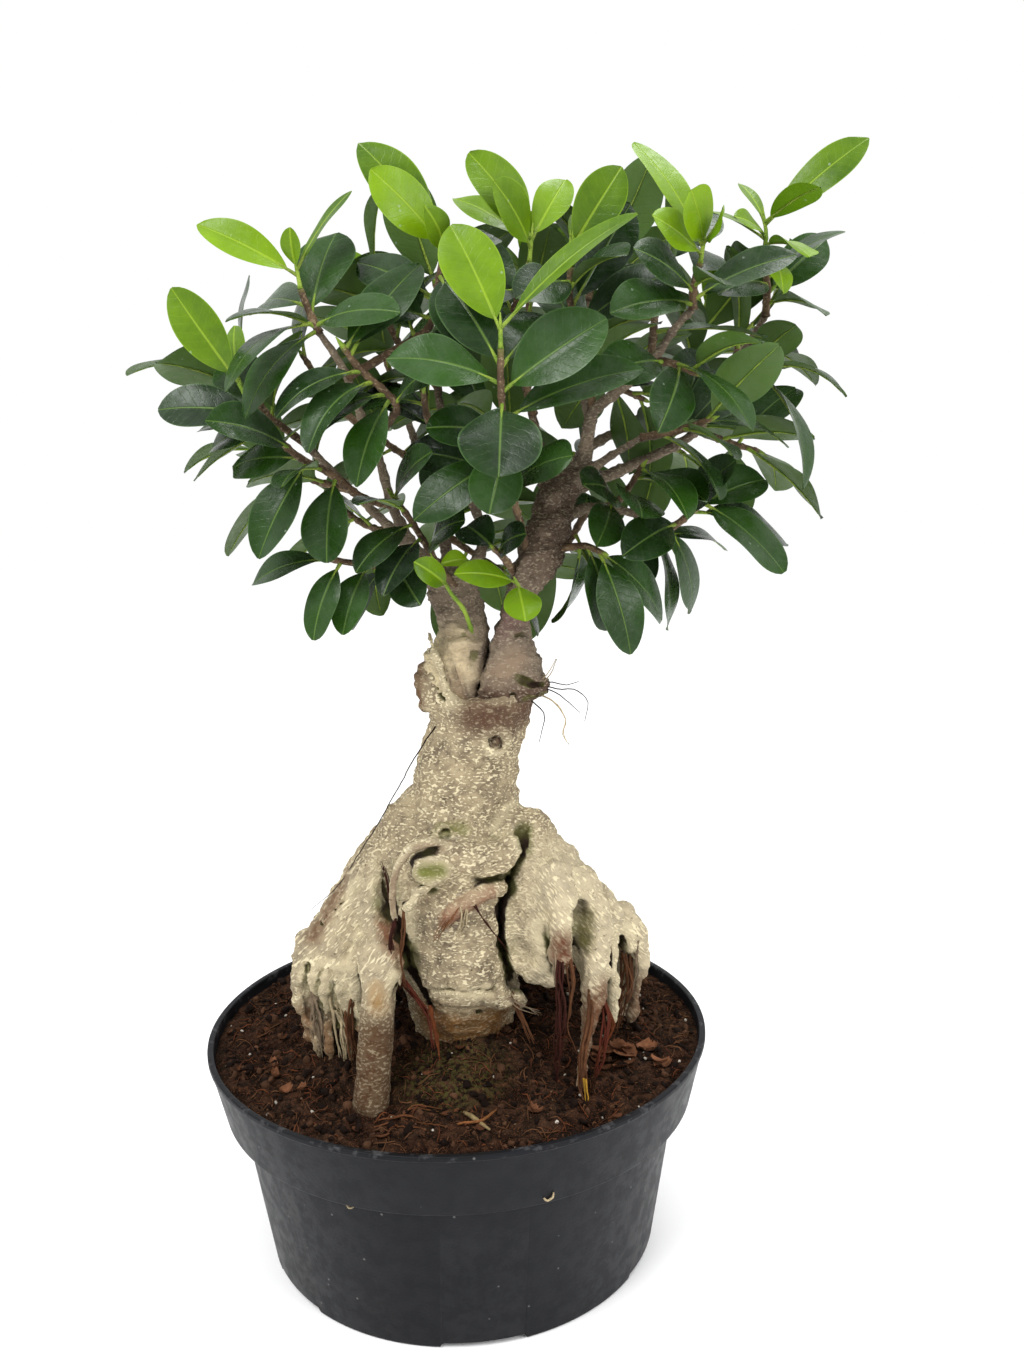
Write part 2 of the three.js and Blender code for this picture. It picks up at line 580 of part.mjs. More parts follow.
// Everything that a new leaf has to stay clear of. On wood and on its own shoot only its blade has to.
const obstacles = [];

function addObstacle(solid, blade, owner, isWood) {
  obstacles.push({ solid, blade, owner, isWood, box: solid.boundingBox() });
}

function isClear(leaf, blade, owner) {
  const box = leaf.boundingBox();
  return obstacles.every((other) => {
    if (!boxesMeet(box, other.box)) {
      return true;
    }
    const own = other.owner === owner;
    return (own || other.isWood ? blade : leaf).intersect(own ? other.blade : other.solid).isEmpty();
  });
}

// A pointed root inside the twig, then the blade
function leafSolid(base, offset, leaf, grow = 0) {
  return loft([[base], ...leafRings(base, offset, leaf, LEAF_OUTLINE, grow)]);
}

function bladeSolid(base, offset, leaf, grow = 0) {
  return loft(leafRings(base, offset, leaf, [BLADE_START, ...LEAF_OUTLINE], grow));
}

// A leaf that meets another is bent aside, mostly towards the front or the back, and left out if it finds no
// room
function growLeaf(base, leaf, seed, owner) {
  const random = seededRandom(seed);
  const length = leaf.offset.length();
  for (let k = 0; k < LEAF_TRIES; k += 1) {
    const shift = [SIDE_BEND, FRONT_BEND, SIDE_BEND].map((bend) => (random() - 0.5) * bend * k);
    const offset = leaf.offset.clone().add(new THREE.Vector3(...shift));
    offset.setLength(length * (1 - LEAF_SHRINK * k));
    if (isClear(leafSolid(base, offset, leaf, GAP), bladeSolid(base, offset, leaf, GAP), owner)) {
      const solid = leafSolid(base, offset, leaf);
      addObstacle(solid, bladeSolid(base, offset, leaf), owner, false);
      return [solid];
    }
  }
  return [];
}

function pointAlong(points, share) {
  const curve = new THREE.CurvePath();
  for (let i = 0; i + 1 < points.length; i += 1) {
    curve.add(new THREE.LineCurve3(points[i], points[i + 1]));
  }
  return curve.getPoint(share);
}

// Rows of hand-placed leaves: [share of the twig, tip offset x, y, z, width, arch, turn to the front]
function rowLeaves(rows) {
  return rows.map(([share, x, y, z, width, arch, front]) => (
    { share, offset: new THREE.Vector3(x, y, z), width, arch, front }));
}

// Leaves round a twig by the golden angle, spread wide at its foot and narrow at its tip
function spiralLeaves(points, count, seed) {
  const random = seededRandom(seed);
  const along = points.at(-1).clone().sub(points[0]).normalize();
  const across = STEM_GUIDE.clone().cross(along).normalize();
  const third = along.clone().cross(across);
  const turn = random() * 2 * Math.PI;
  return Array.from({ length: count }, (_, i) => {
    const share = SPIRAL_FIRST_SHARE + ((1 - SPIRAL_FIRST_SHARE) * i) / (count - 1);
    const angle = turn + i * GOLDEN_ANGLE;
    const spread = THREE.MathUtils.degToRad(
      SPIRAL_SPREAD - SPIRAL_NARROWING * share + SPIRAL_SPREAD_RANGE * random());
    const length = SPIRAL_LENGTH + SPIRAL_LENGTH_RANGE * random();
    const width = length * (SPIRAL_WIDTH + SPIRAL_WIDTH_RANGE * random());
    const arch = SPIRAL_ARCH + SPIRAL_ARCH_RANGE * random();
    const offset = along.clone().multiplyScalar(Math.cos(spread))
      .addScaledVector(across, Math.sin(spread) * Math.cos(angle))
      .addScaledVector(third, Math.sin(spread) * Math.sin(angle));
    offset.z -= SPIRAL_DROOP;
    return { share, offset: offset.setLength(length), width, arch, front: 0 };
  });
}

// Wood that twigs are cut clear of, so that each stands on its branch with the usual gap
const woodClearance = [];

function boxed(solid) {
  return { solid, box: solid.boundingBox() };
}

function twigOf({ name, twig }, young) {
  const points = twig.map((place) => new THREE.Vector3(...place));
  const [thick, thin] = young ? YOUNG_TWIG_RADII : TWIG_RADII;
  const path = twig.map((place, i) => [...place, thick + ((thin - thick) * i) / (twig.length - 1)]);
  if (!YOUNG_SHOOTS.some((next) => next.twig[0].join() === twig.at(-1).join())) {
    const bud = points.at(-1).clone().add(points.at(-1).clone().sub(points.at(-2)).setLength(BUD_LENGTH));
    path.push([bud.x, bud.y, bud.z, BUD_TIP_RADIUS]);
  }
  return { name, points, solid: stem(path, TWIG_SIDES), clearance: stem(path, TWIG_SIDES, GAP) };
}

function growShoot({ name, rows, count }, twig, index, young) {
  const leaves = rows ? rowLeaves(rows) : spiralLeaves(twig.points, count, index);
  const grown = leaves.flatMap((leaf, i) => (
    growLeaf(pointAlong(twig.points, leaf.share), leaf, index * 100 + i, name)));
  const whole = boxed(joinAll([twig.solid, ...grown]));
  const near = woodClearance.filter((wood) => boxesMeet(wood.box, whole.box));
  const shoot = near.reduce((rest, wood) => rest.subtract(wood.solid), whole.solid);
  woodClearance.push(boxed(twig.clearance));
  addPiece(name, largestBody(shoot), young ? YOUNG_LEAF_FINISH : DARK_LEAF_FINISH);
}

// Shoots whose leaves are placed one by one, as on the front of the crown.
// twig: points [x, y, z]. rows: see rowLeaves.
const HAND_SHOOTS = [
  { name: 'shoot_front',
    twig: [[36, -9, 318], [34, -15, 330], [28, -35, 351], [24, -60, 384], [24, -64, 401]],
    rows: [
      [0.8, -3, -22, -28, 30, 0.05, 1],
      [0.84, 40, -5, 26, 25, 0.06, 1.4],
      [0.87, -43, -6, 10, 21, 0.12, 0.8],
      [0.6, -8, -14, -26, 20, 0.08, 1],
      [0.72, 54, -4, 18, 20, 0.08, 0.4],
      [0.64, -31, -6, 4, 18, 0.1, 0.8],
      [0.55, -38, -9, -24, 19, 0.1, 1],
      [0.44, -42, 8, 12, 21, 0.1, 0.8],
      [0.38, 22, -30, 13, 22, 0.1, 0.6],
      [0.93, 26, 24, 30, 21, 0.08, 0.8],
      [0.93, -20, 12, 34, 22, 0.08, 0.8],
    ] },
  { name: 'shoot_left_low',
    twig: [[-21, -12, 342], [-33, -20, 346], [-45, -26, 356], [-57, -30, 363], [-68, -32, 374],
      [-76, -32, 386]],
    rows: [
      [0.9, -40, 2, 3, 20, 0.08, 1.2],
      [0.86, -35, -16, 6, 17, 0.08, 0.1],
      [0.8, -27, 18, -6, 18, 0.1, 0.8],
      [0.88, -20, 18, 33, 20, 0.08, 1.2],
      [0.66, -36, -8, 13, 20, 0.1, 1],
      [0.58, -32, 20, -3, 20, 0.1, 0.8],
      [0.46, -30, -19, -2, 17, 0.12, 0.4],
      [0.55, -21, -10, -38, 20, 0.06, 1.4],
      [0.38, -4, -12, -34, 20, 0.08, 1.4],
      [0.25, -6, -28, -22, 17, 0.16, 0.5],
    ] },
  { name: 'shoot_left_top',
    twig: [[-46, -34, 411], [-49, -36, 418], [-52, -38, 427]],
    rows: [
      [0.4, 10, 14, 34, 24, 0.06, 1.4],
      [0.1, -32, -22, 1, 16, 0.12, 0.3],
      [0.2, -32, -25, -27, 17, 0.16, 0.3],
      [0.05, -29, -12, -34, 18, 0.12, 0.8],
      [0.15, 34, -24, 2, 18, 0.1, 0.6],
      [0.6, -24, 36, 4, 20, 0.1, 0.2],
    ] },
  { name: 'shoot_dark_twig',
    twig: [[-28, -18, 368], [-20, -34, 376], [-17, -41, 383], [-30, -45, 396], [-35, -48, 403]],
    rows: [
      [0.72, -25, -18, -27, 17, 0.16, 0.5],
      [0.82, -34, -8, -17, 17, 0.12, 0.4],
      [0.56, -14, -12, -34, 17, 0.1, 0.8],
      [0.6, -26, -26, -16, 17, 0.12, 0.5],
      [0.95, 28, 14, 36, 22, 0.06, 1],
      [1, 19, -16, 22, 18, 0.08, 0.8],
      [0.48, 26, -22, 17, 20, 0.1, 0.6],
    ] },
  { name: 'shoot_top_left',
    twig: [[-36, -29, 394], [-18, -34, 403], [-3, -35, 412], [1, -38, 426], [3, -40, 436]],
    rows: [
      [0.66, -16, -27, 13, 21, 0.1, 0.6],
      [0.78, -36, 8, 22, 18, 0.08, 1],
      [0.86, 24, 20, 22, 21, 0.08, 0.6],
      [0.92, 8, -25, -24, 20, 0.12, 0.6],
      [0.5, -8, 22, 30, 20, 0.08, 0.6],
    ] },
  { name: 'shoot_top_mid',
    twig: [[42, 15, 380], [36, -4, 398], [31, -20, 412], [34, -26, 427], [38, -28, 437]],
    rows: [
      [0.72, -17, 16, 32, 22, 0.06, 1],
      [0.78, 28, -6, 22, 22, 0.08, 0.8],
      [0.85, -28, -25, -7, 20, 0.1, 0.5],
      [0.6, 26, -24, -10, 20, 0.1, 0.6],
      [0.5, -26, -14, 16, 21, 0.08, 0.8],
    ] },
  { name: 'shoot_mid_right',
    twig: [[66, -5, 379], [64, -8, 390], [60, -14, 404], [55, -20, 424], [55, -24, 436]],
    rows: [
      [0.3, 26, -34, 15, 22, 0.08, 0.8],
      [0.5, -14, -4, 39, 25, 0.05, 1.4],
      [0.58, 36, -19, 20, 21, 0.08, 0.8],
      [0.74, 26, 8, 42, 21, 0.06, 1],
      [0.86, 20, -26, 9, 20, 0.1, 0.8],
      [0.9, -24, -26, -9, 20, 0.1, 0.6],
    ] },
  { name: 'shoot_right_top',
    twig: [[102, -38, 417], [102, -40, 426], [104, -42, 434]],
    rows: [
      [0.2, 39, -8, 15, 18, 0.08, 0.5],
      [0.35, -26, -14, 15, 20, 0.08, 1],
      [0.1, -36, -20, -5, 20, 0.1, 0.6],
      [0.5, 18, -26, -16, 18, 0.12, 0.6],
      [0.7, 8, 30, 16, 20, 0.08, 0],
    ] },
  { name: 'shoot_right_mid',
    twig: [[87, -28, 398], [94, -34, 397], [101, -40, 393]],
    rows: [
      [0.15, 46, -22, -38, 16, 0.14, 0.3],
      [0.5, 25, -32, -31, 17, 0.12, 0.5],
      [0.3, -28, -30, -6, 20, 0.1, 0.8],
      [1, 20, -32, 8, 18, 0.1, 0.5],
      [0.7, -13, -26, -26, 18, 0.1, 0.8],
    ] },
  { name: 'shoot_far_right',
    twig: [[143, 6, 419], [142, 0, 430], [139, -5, 443]],
    rows: [
      [0.2, 18, -28, -8, 17, 0.12, 0.5],
      [0.35, 28, 8, 24, 18, 0.08, 0.8],
      [0.6, 29, -14, 17, 17, 0.08, 0.6],
      [0.5, -27, -26, -6, 18, 0.1, 0.6],
      [0.8, -6, 34, 6, 18, 0.1, 0],
    ] },
  { name: 'shoot_far_side',
    twig: [[131, 10, 398], [136, 5, 396], [142, 0, 394]],
    rows: [
      [0.5, 40, -12, -12, 16, 0.16, 0.3],
      [0.8, 14, -24, -50, 17, 0.12, 0.3],
      [0.4, 12, -32, 15, 17, 0.1, 0.5],
      [0.3, -28, -28, -22, 20, 0.1, 0.7],
      [1, 30, 20, 14, 18, 0.1, 0.3],
    ] },
  { name: 'shoot_low_right',
    twig: [[96, 1, 327], [103, -4, 331], [107, -8, 335], [112, -11, 340]],
    rows: [
      [1, 32, -15, -30, 24, 0.08, 1],
      [0.75, 50, 24, -16, 22, 0.08, 0.6],
      [0.55, 16, -32, 19, 21, 0.08, 0.8],
      [0.35, -28, -28, -11, 20, 0.1, 0.7],
      [0.85, 28, -14, 22, 20, 0.08, 0.6],
      [0.2, 13, 10, -38, 20, 0.08, 1],
    ] },
  { name: 'shoot_low_mid',
    twig: [[69, 10, 337], [77, -6, 342], [84, -20, 355]],
    rows: [
      [0.4, -18, -36, 9, 20, 0.08, 1],
      [0.55, 2, -38, -8, 22, 0.1, 1],
      [0.85, 28, -16, -10, 20, 0.1, 0.8],
      [1, 14, -28, -24, 18, 0.1, 0.7],
      [0.98, 22, -20, 15, 18, 0.1, 0.5],
      [0.3, -10, -24, -26, 17, 0.1, 1],
    ] },
  { name: 'shoot_hang_right',
    twig: [[44, -5, 320], [54, -8, 322], [61, -14, 323], [66, -20, 321]],
    rows: [
      [1, 12, -12, -43, 21, 0.06, 1.2],
      [0.75, 8, -6, -36, 21, 0.08, 1],
      [0.8, 18, -34, -4, 18, 0.1, 0.8],
      [0.95, 33, 20, -34, 21, 0.08, 0.8],
      [0.6, -9, 28, -36, 21, 0.08, 0.8],
      [0.65, 10, -34, 12, 18, 0.1, 0.8],
    ] },
  { name: 'shoot_back_hang',
    twig: [[89, 10, 334], [96, 16, 328], [103, 22, 323]],
    rows: [
      [0.4, 10, 12, -50, 21, 0.08, 0.8],
      [1, 13, 12, -37, 21, 0.08, 0.8],
      [0.6, -19, 16, -34, 22, 0.08, 0.8],
      [0.9, 34, 22, -8, 20, 0.1, 0.3],
      [0.5, 2, 38, -14, 20, 0.1, 0],
    ] },
  { name: 'shoot_left_twig',
    twig: [[-11, -9, 321], [-18, -15, 316], [-33, -20, 318], [-47, -25, 321]],
    rows: [
      [0.88, -13, -8, -32, 16, 0.08, 1],
      [0.6, -11, -11, -28, 17, 0.08, 1],
      [0.42, -17, 12, -28, 16, 0.08, 0.8],
      [0.3, 10, -22, -14, 16, 0.1, 0.8],
      [1, -34, 6, -10, 17, 0.1, 0.4],
    ] },
  { name: 'shoot_thin_twig',
    twig: [[8, -10, 303], [-1, -18, 315], [-13, -22, 336], [-19, -26, 345]],
    rows: [
      [0.75, -24, -16, -18, 17, 0.1, 0.8],
      [0.88, -24, -26, 8, 18, 0.1, 0.8],
      [0.5, 14, -28, 14, 20, 0.1, 0.8],
      [1, 15, -28, 16, 18, 0.1, 0.8],
      [0.62, -16, -20, -22, 17, 0.1, 0.8],
      [0.95, -16, 14, 24, 18, 0.1, 0.6],
    ] },
  { name: 'shoot_grey_pair',
    twig: [[32, -9, 310], [25, -22, 320], [22, -27, 323]],
    rows: [
      [1, -14, -22, 3, 16, 0.1, 1],
      [0.9, 10, -20, 9, 15, 0.1, 1],
    ] },
];

// Shoots on the back, the sides and the inside of the crown, with leaves in spirals
const SPIRAL_SHOOTS = [
  { twig: [[-18, 56, 390], [-24, 66, 408], [-24, 68, 424]], count: 6 },
  { twig: [[-8, 38, 358], [-26, 54, 370], [-34, 60, 384]], count: 6 },
  { twig: [[-40, 20, 348], [-60, 28, 354], [-78, 34, 366]], count: 6 },
  { twig: [[-58, 12, 368], [-74, 10, 382], [-86, 8, 400]], count: 6 },
  { twig: [[4, 18, 418], [2, 28, 430], [0, 36, 440]], count: 6 },
  { twig: [[38, 18, 396], [41, 24, 416], [42, 30, 434]], count: 6 },
  { twig: [[75, 60, 402], [77, 64, 418], [78, 66, 434]], count: 6 },
  { twig: [[113, 52, 390], [122, 54, 404], [126, 54, 420]], count: 6 },
  { twig: [[66, 32, 362], [66, 52, 362], [62, 68, 358]], count: 6 },
  { twig: [[0, 22, 328], [10, 44, 340], [14, 62, 350]], count: 6 },
  { twig: [[92, 46, 377], [106, 58, 368], [118, 66, 362]], count: 6 },
  { twig: [[-20, 14, 328], [-36, 36, 332], [-48, 50, 340]], count: 6 },
  { twig: [[115, 15, 371], [130, 22, 366], [144, 26, 362]], count: 6 },
  { twig: [[131, 10, 398], [136, 26, 408], [142, 36, 418]], count: 6 },
  { twig: [[66, 8, 426], [68, 14, 434], [72, 18, 442]], count: 6 },
  { twig: [[0, 14, 392], [-16, 8, 410], [-24, 4, 430]], count: 6 },
  { twig: [[-30, -20, 373], [-44, -6, 386], [-56, 4, 404]], count: 6 },
  { twig: [[85, -15, 368], [98, -22, 370], [110, -26, 374]], count: 5 },
  { twig: [[5, 10, 367], [-4, -6, 376], [-6, -16, 388]], count: 5 },
  { twig: [[87, -28, 398], [92, -10, 420], [98, 4, 440]], count: 6 },
  { twig: [[0, 22, 328], [14, 27, 318], [26, 32, 310]], count: 6 },
  { twig: [[65, 10, 338], [59, 24, 324], [52, 34, 312]], count: 6 },
  { twig: [[44, 14, 366], [30, 22, 374], [16, 28, 382]], count: 6 },
  { twig: [[62, 3, 400], [76, 12, 392], [90, 18, 386]], count: 6 },
].map((shoot, i) => ({ name: `shoot_spiral_${String(i + 1).padStart(2, '0')}`, ...shoot }));

// Young tips with soft bright leaves
const YOUNG_SHOOTS = [
  { name: 'young_front', twig: [[24, -64, 401], [24, -65, 408]],
    rows: [[0.9, -17, 5, 41, 22, 0.05, 1.4], [1, 50, -8, 40, 12, 0.05, 0]] },
  { name: 'young_left_tip', twig: [[-76, -32, 386], [-79, -33, 393]],
    rows: [[0.9, -23, -4, 36, 17, 0.06, 1.4], [0.7, -4, 18, 26, 10, 0.06, 0.8]] },
  { name: 'young_left_top', twig: [[-52, -38, 427], [-53, -38, 434]],
    rows: [[0.7, -38, 3, 20, 14, 0.06, 1], [1, -3, -2, 16, 9, 0.06, 1], [1, 22, 4, 30, 8, 0.05, 0.4]] },
  { name: 'young_top_left', twig: [[3, -40, 436], [4, -41, 444]],
    rows: [[1, -31, 0, 36, 18, 0.06, 1.2], [0.7, -26, -12, 26, 19, 0.06, 1.2],
      [0.5, -6, -18, 13, 11, 0.12, 1]] },
  { name: 'young_top_mid', twig: [[38, -28, 437], [39, -29, 446]],
    rows: [[1, -24, -4, 32, 20, 0.06, 1.2], [0.6, -15, -20, 21, 18, 0.06, 1.2],
      [0.8, -30, 20, 22, 13, 0.06, 0.8], [0.9, 16, 17, 27, 14, 0.06, 1]] },
  { name: 'young_mid_right', twig: [[55, -24, 436], [55, -25, 444]],
    rows: [[0.8, 20, -6, 30, 18, 0.06, 1.4], [1, 3, 10, 14, 5, 0.04, 1]] },
  { name: 'young_right_top', twig: [[104, -42, 434], [105, -43, 441]],
    rows: [[0.8, -24, 19, 44, 15, 0.06, 1], [0.9, -9, -9, 21, 22, 0.05, 1.6],
      [1, 10, -4, 17, 13, 0.06, 1.2], [0.4, -12, -24, 12, 16, 0.06, 1.4]] },
  { name: 'young_far_top', twig: [[139, -5, 443], [139, -8, 450], [138, -9, 455]],
    rows: [[0.9, 41, -7, 33, 15, 0.06, 1], [0.98, 30, -16, 21, 13, 0.06, 0.6],
      [0.3, 12, -24, -9, 18, 0.1, 1], [0.5, -17, -15, 6, 11, 0.08, 1], [1, -8, 12, 18, 9, 0.06, 1],
      [0.2, 3, -20, -21, 12, 0.08, 1], [0.15, 31, -6, -12, 12, 0.08, 1],
      [0.45, -25, 12, 15, 8, 0.06, 0.6]] },
  { name: 'young_sprout', twig: [[12, -12, 285], [8, -24, 298], [2, -29, 307], [-3, -32, 318]],
    rows: [[0.75, -18, -12, 7, 11, 0.08, 1], [0.98, 13, 8, 2, 9, 0.08, 1]] },
  { name: 'young_lime_front', twig: [[33, -10, 303], [32, -22, 306], [30, -30, 310]],
    rows: [[0.95, -26, -14, 6, 13, 0.08, 0.5], [0.85, 2, -13, -14, 15, 0.08, 1.4]] },
  { name: 'young_back_left', twig: [[-24, 68, 424], [-24, 69, 432]],
    rows: [[0.7, -20, 8, 30, 15, 0.06, 0], [0.9, 14, 18, 26, 15, 0.06, 0], [1, 2, -10, 24, 10, 0.06, 0]] },
  { name: 'young_back_top', twig: [[42, 30, 434], [42, 32, 442]],
    rows: [[0.7, -22, 14, 20, 15, 0.06, 0], [0.9, 20, 18, 22, 15, 0.06, 0], [1, 0, -8, 26, 10, 0.06, 0]] },
  { name: 'young_back_right', twig: [[126, 54, 420], [127, 55, 428]],
    rows: [[0.7, 24, 8, 26, 15, 0.06, 0], [0.9, -12, 22, 24, 15, 0.06, 0], [1, 4, -8, 22, 9, 0.06, 0]] },
];

const soilHoles = LEGS.map((path) => stem(path, LEG_SIDES, GAP));
addPiece('pot', buildPot(), POT_FINISH);
addPiece('soil', soilBlock(0).subtract(joinAll(soilHoles)), SOIL_FINISH);
addPiece('rootstock', buildRootstock(), ROOTSTOCK_FINISH);

const grafts = [
  { name: 'graft_left', chains: LEFT_SCION, branches: LEFT_BRANCHES, side: -1 },
  { name: 'graft_right', chains: RIGHT_SCION, branches: RIGHT_BRANCHES, side: 1 },
];
for (const { name, chains, branches, side } of grafts) {
  const wood = buildGraft(chains, branches, side);
  const boughs = branches.map((path) => stem(path, BRANCH_SIDES, GAP));
  addPiece(name, wood, SCION_FINISH);
  addObstacle(wood, wood, name, true);
  woodClearance.push(...[buildScion(chains, side, GAP), ...boughs].map(boxed));
}

const shoots = [
  ...HAND_SHOOTS.map((shoot, i) => ({ shoot, index: i + 1, young: false })),
  ...YOUNG_SHOOTS.map((shoot, i) => ({ shoot, index: i + 101, young: true })),
  ...SPIRAL_SHOOTS.map((shoot, i) => ({ shoot, index: i + 201, young: false })),
];
const twigs = shoots.map(({ shoot, young }) => twigOf(shoot, young));
for (const { name, solid } of twigs) {
  addObstacle(solid, solid, name, true);
}
shoots.forEach(({ shoot, index, young }, i) => growShoot(shoot, twigs[i], index, young));

export default group;
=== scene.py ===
# %% [markdown]
# # A ficus ginseng bonsai in its nursery pot
# A ginseng ficus is two trees in one: the swollen pale root of a seedling, and scions of a small-leaved
# ficus that were grafted on its cut top. This lesson dresses the measured model of one. The model's solids
# have the right places and sizes but coarse faces, so each step builds a finer piece in the same place.
# Everything is in metres in the frame of that model. Lists of points are in millimetres, as a maker
# would measure them, and MM turns them into metres.

# %% Load the measured model
import itertools
import math

import bmesh
import bpy
import numpy as np
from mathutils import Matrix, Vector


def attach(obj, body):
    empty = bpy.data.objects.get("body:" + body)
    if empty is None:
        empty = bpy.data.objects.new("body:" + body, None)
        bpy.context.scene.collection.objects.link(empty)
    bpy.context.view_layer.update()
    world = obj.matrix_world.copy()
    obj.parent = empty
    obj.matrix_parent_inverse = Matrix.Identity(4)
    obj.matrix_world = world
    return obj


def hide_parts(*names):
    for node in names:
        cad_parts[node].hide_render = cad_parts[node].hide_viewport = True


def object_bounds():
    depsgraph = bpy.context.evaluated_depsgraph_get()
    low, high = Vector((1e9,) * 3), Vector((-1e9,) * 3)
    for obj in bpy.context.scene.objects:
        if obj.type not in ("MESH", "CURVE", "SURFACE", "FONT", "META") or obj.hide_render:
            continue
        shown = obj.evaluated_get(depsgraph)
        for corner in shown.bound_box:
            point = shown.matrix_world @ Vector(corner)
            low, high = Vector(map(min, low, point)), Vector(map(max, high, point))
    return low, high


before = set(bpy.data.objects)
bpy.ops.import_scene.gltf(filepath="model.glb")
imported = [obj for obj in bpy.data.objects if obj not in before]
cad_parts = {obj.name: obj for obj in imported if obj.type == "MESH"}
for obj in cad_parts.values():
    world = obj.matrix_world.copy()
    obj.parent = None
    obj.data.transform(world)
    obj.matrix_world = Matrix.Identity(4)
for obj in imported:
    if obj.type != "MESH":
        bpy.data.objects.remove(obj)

import openvdb
from mathutils import Matrix, Vector, noise

MM = 0.001
cad_box = [list(corner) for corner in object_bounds()]
print("solids:", len(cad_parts), "box in metres:", cad_box)

# %% [markdown]
# ## Camera
# The tree is seen from a little above its pot, from half a metre away, with a lens of 32 mm. The angles were
# found by fitting the ellipses of the pot's rim and foot. A camera looks along its own -Z axis, so its
# matrix has the right side, the top and the backward direction as its columns.

# %% The camera
YAW, PITCH, ROLL = math.radians(3.133), math.radians(10.514), math.radians(-1.289)
LENS, CAMERA_PLACE = 31.65, (0, -528, 360)
forward = Vector((math.sin(YAW) * math.cos(PITCH), math.cos(YAW) * math.cos(PITCH), -math.sin(PITCH)))
level = Vector((math.cos(YAW), -math.sin(YAW), 0))
upward = level.cross(forward)
right_side = math.cos(ROLL) * level + math.sin(ROLL) * upward
top_side = -math.sin(ROLL) * level + math.cos(ROLL) * upward
camera = bpy.data.objects.new("camera", bpy.data.cameras.new("camera"))
camera.data.lens = LENS
turned = Matrix((right_side, top_side, -forward)).transposed().to_4x4()
camera.matrix_world = Matrix.Translation(Vector(CAMERA_PLACE) * MM) @ turned
bpy.context.scene.collection.objects.link(camera)
bpy.context.scene.camera = camera
print("camera at", tuple(round(v, 3) for v in camera.matrix_world.translation))

# %% [markdown]
# ## Small helpers for shader nodes
# Every finish here is built from nodes. These helpers keep each step to one line: one adds a node and fills
# its inputs, one does sums, one mixes colours and one maps a range of numbers to another.

# %% Helpers for single nodes
def paint(red, green, blue):
    """A colour from a paint chart, 0 to 255, in the linear numbers that Blender mixes."""
    shares = [value / 255 for value in (red, green, blue)]
    return (*[v / 12.92 if v <= 0.04045 else ((v + 0.055) / 1.055) ** 2.4 for v in shares], 1.0)


def plug(tree, value, socket):
    """Links an output to a socket, or sets the socket to a plain value."""
    if isinstance(value, bpy.types.NodeSocket):
        tree.links.new(value, socket)
    else:
        socket.default_value = value


def add_node(tree, kind, settings=None, **inputs):
    """A shader node with its settings, and its inputs linked or filled by their names."""
    made = tree.nodes.new("ShaderNode" + kind)
    for name, value in (settings or {}).items():
        setattr(made, name, value)
    for name, value in inputs.items():
        plug(tree, value, made.inputs[name.replace("_", " ")])
    return made


def sum_up(tree, operation, *values, kind="Math"):
    """The result of one sum. Sums of vectors have the kind VectorMath."""
    made = add_node(tree, kind, {"operation": operation})
    for value, socket in zip(values, made.inputs):
        plug(tree, value, socket)
    return made.outputs[0]


def mix_colours(tree, share, first, second, amount=None):
    """first where the share is 0 and second where it is 1. An amount below 1 weakens the share."""
    if amount is not None:
        share = sum_up(tree, "MULTIPLY", share, amount)
    made = add_node(tree, "Mix", {"data_type": "RGBA"})
    for value, socket in ((share, 0), (first, 6), (second, 7)):
        plug(tree, value, made.inputs[socket])
    return made.outputs[2]


def remap(tree, value, low, high, to_low=0.0, to_high=1.0):
    """Maps the range from low to high smoothly to another one."""
    made = add_node(tree, "MapRange", {"interpolation_type": "SMOOTHSTEP"}, Value=value, From_Min=low,
                    From_Max=high, To_Min=to_low, To_Max=to_high)
    return made.outputs["Result"]


def cloud(tree, place, scale, detail, output="Fac", **more):
    """A noise texture. A scale of 100 gives clouds of about a hundredth of a metre."""
    return add_node(tree, "TexNoise", Vector=place, Scale=scale, Detail=detail, **more).outputs[output]


def attribute(tree, name, output="Fac"):
    """A number, or with the output Vector a colour, that the mesh keeps for each point."""
    return add_node(tree, "Attribute", {"attribute_name": name}).outputs[output]


print("paper white is", paint(255, 255, 255), "in linear numbers")

# %% Helpers for node groups
def start_group(name, inputs, outputs):
    """An empty node group: inputs and outputs map a socket's name to its kind, or to a plain number."""
    group = bpy.data.node_groups.new(name, "ShaderNodeTree")
    for side, sockets in (("INPUT", inputs), ("OUTPUT", outputs)):
        for socket, value in sockets.items():
            plain = not isinstance(value, str)
            kind = "Float" if plain else value
            made = group.interface.new_socket(socket, in_out=side, socket_type="NodeSocket" + kind)
            if plain:
                made.default_value = value
    return group, group.nodes.new("NodeGroupInput").outputs


def end_group(group, **outputs):
    end = group.nodes.new("NodeGroupOutput")
    for name, value in outputs.items():
        plug(group, value, end.inputs[name.replace("_", " ")])
    print("built", group.name, "with", len(group.nodes), "nodes")


def use_group(tree, group, **inputs):
    made = tree.nodes.new("ShaderNodeGroup")
    made.node_tree = group
    for name, value in inputs.items():
        plug(tree, value, made.inputs[name.replace("_", " ")])
    return made.outputs


print("helpers ready")
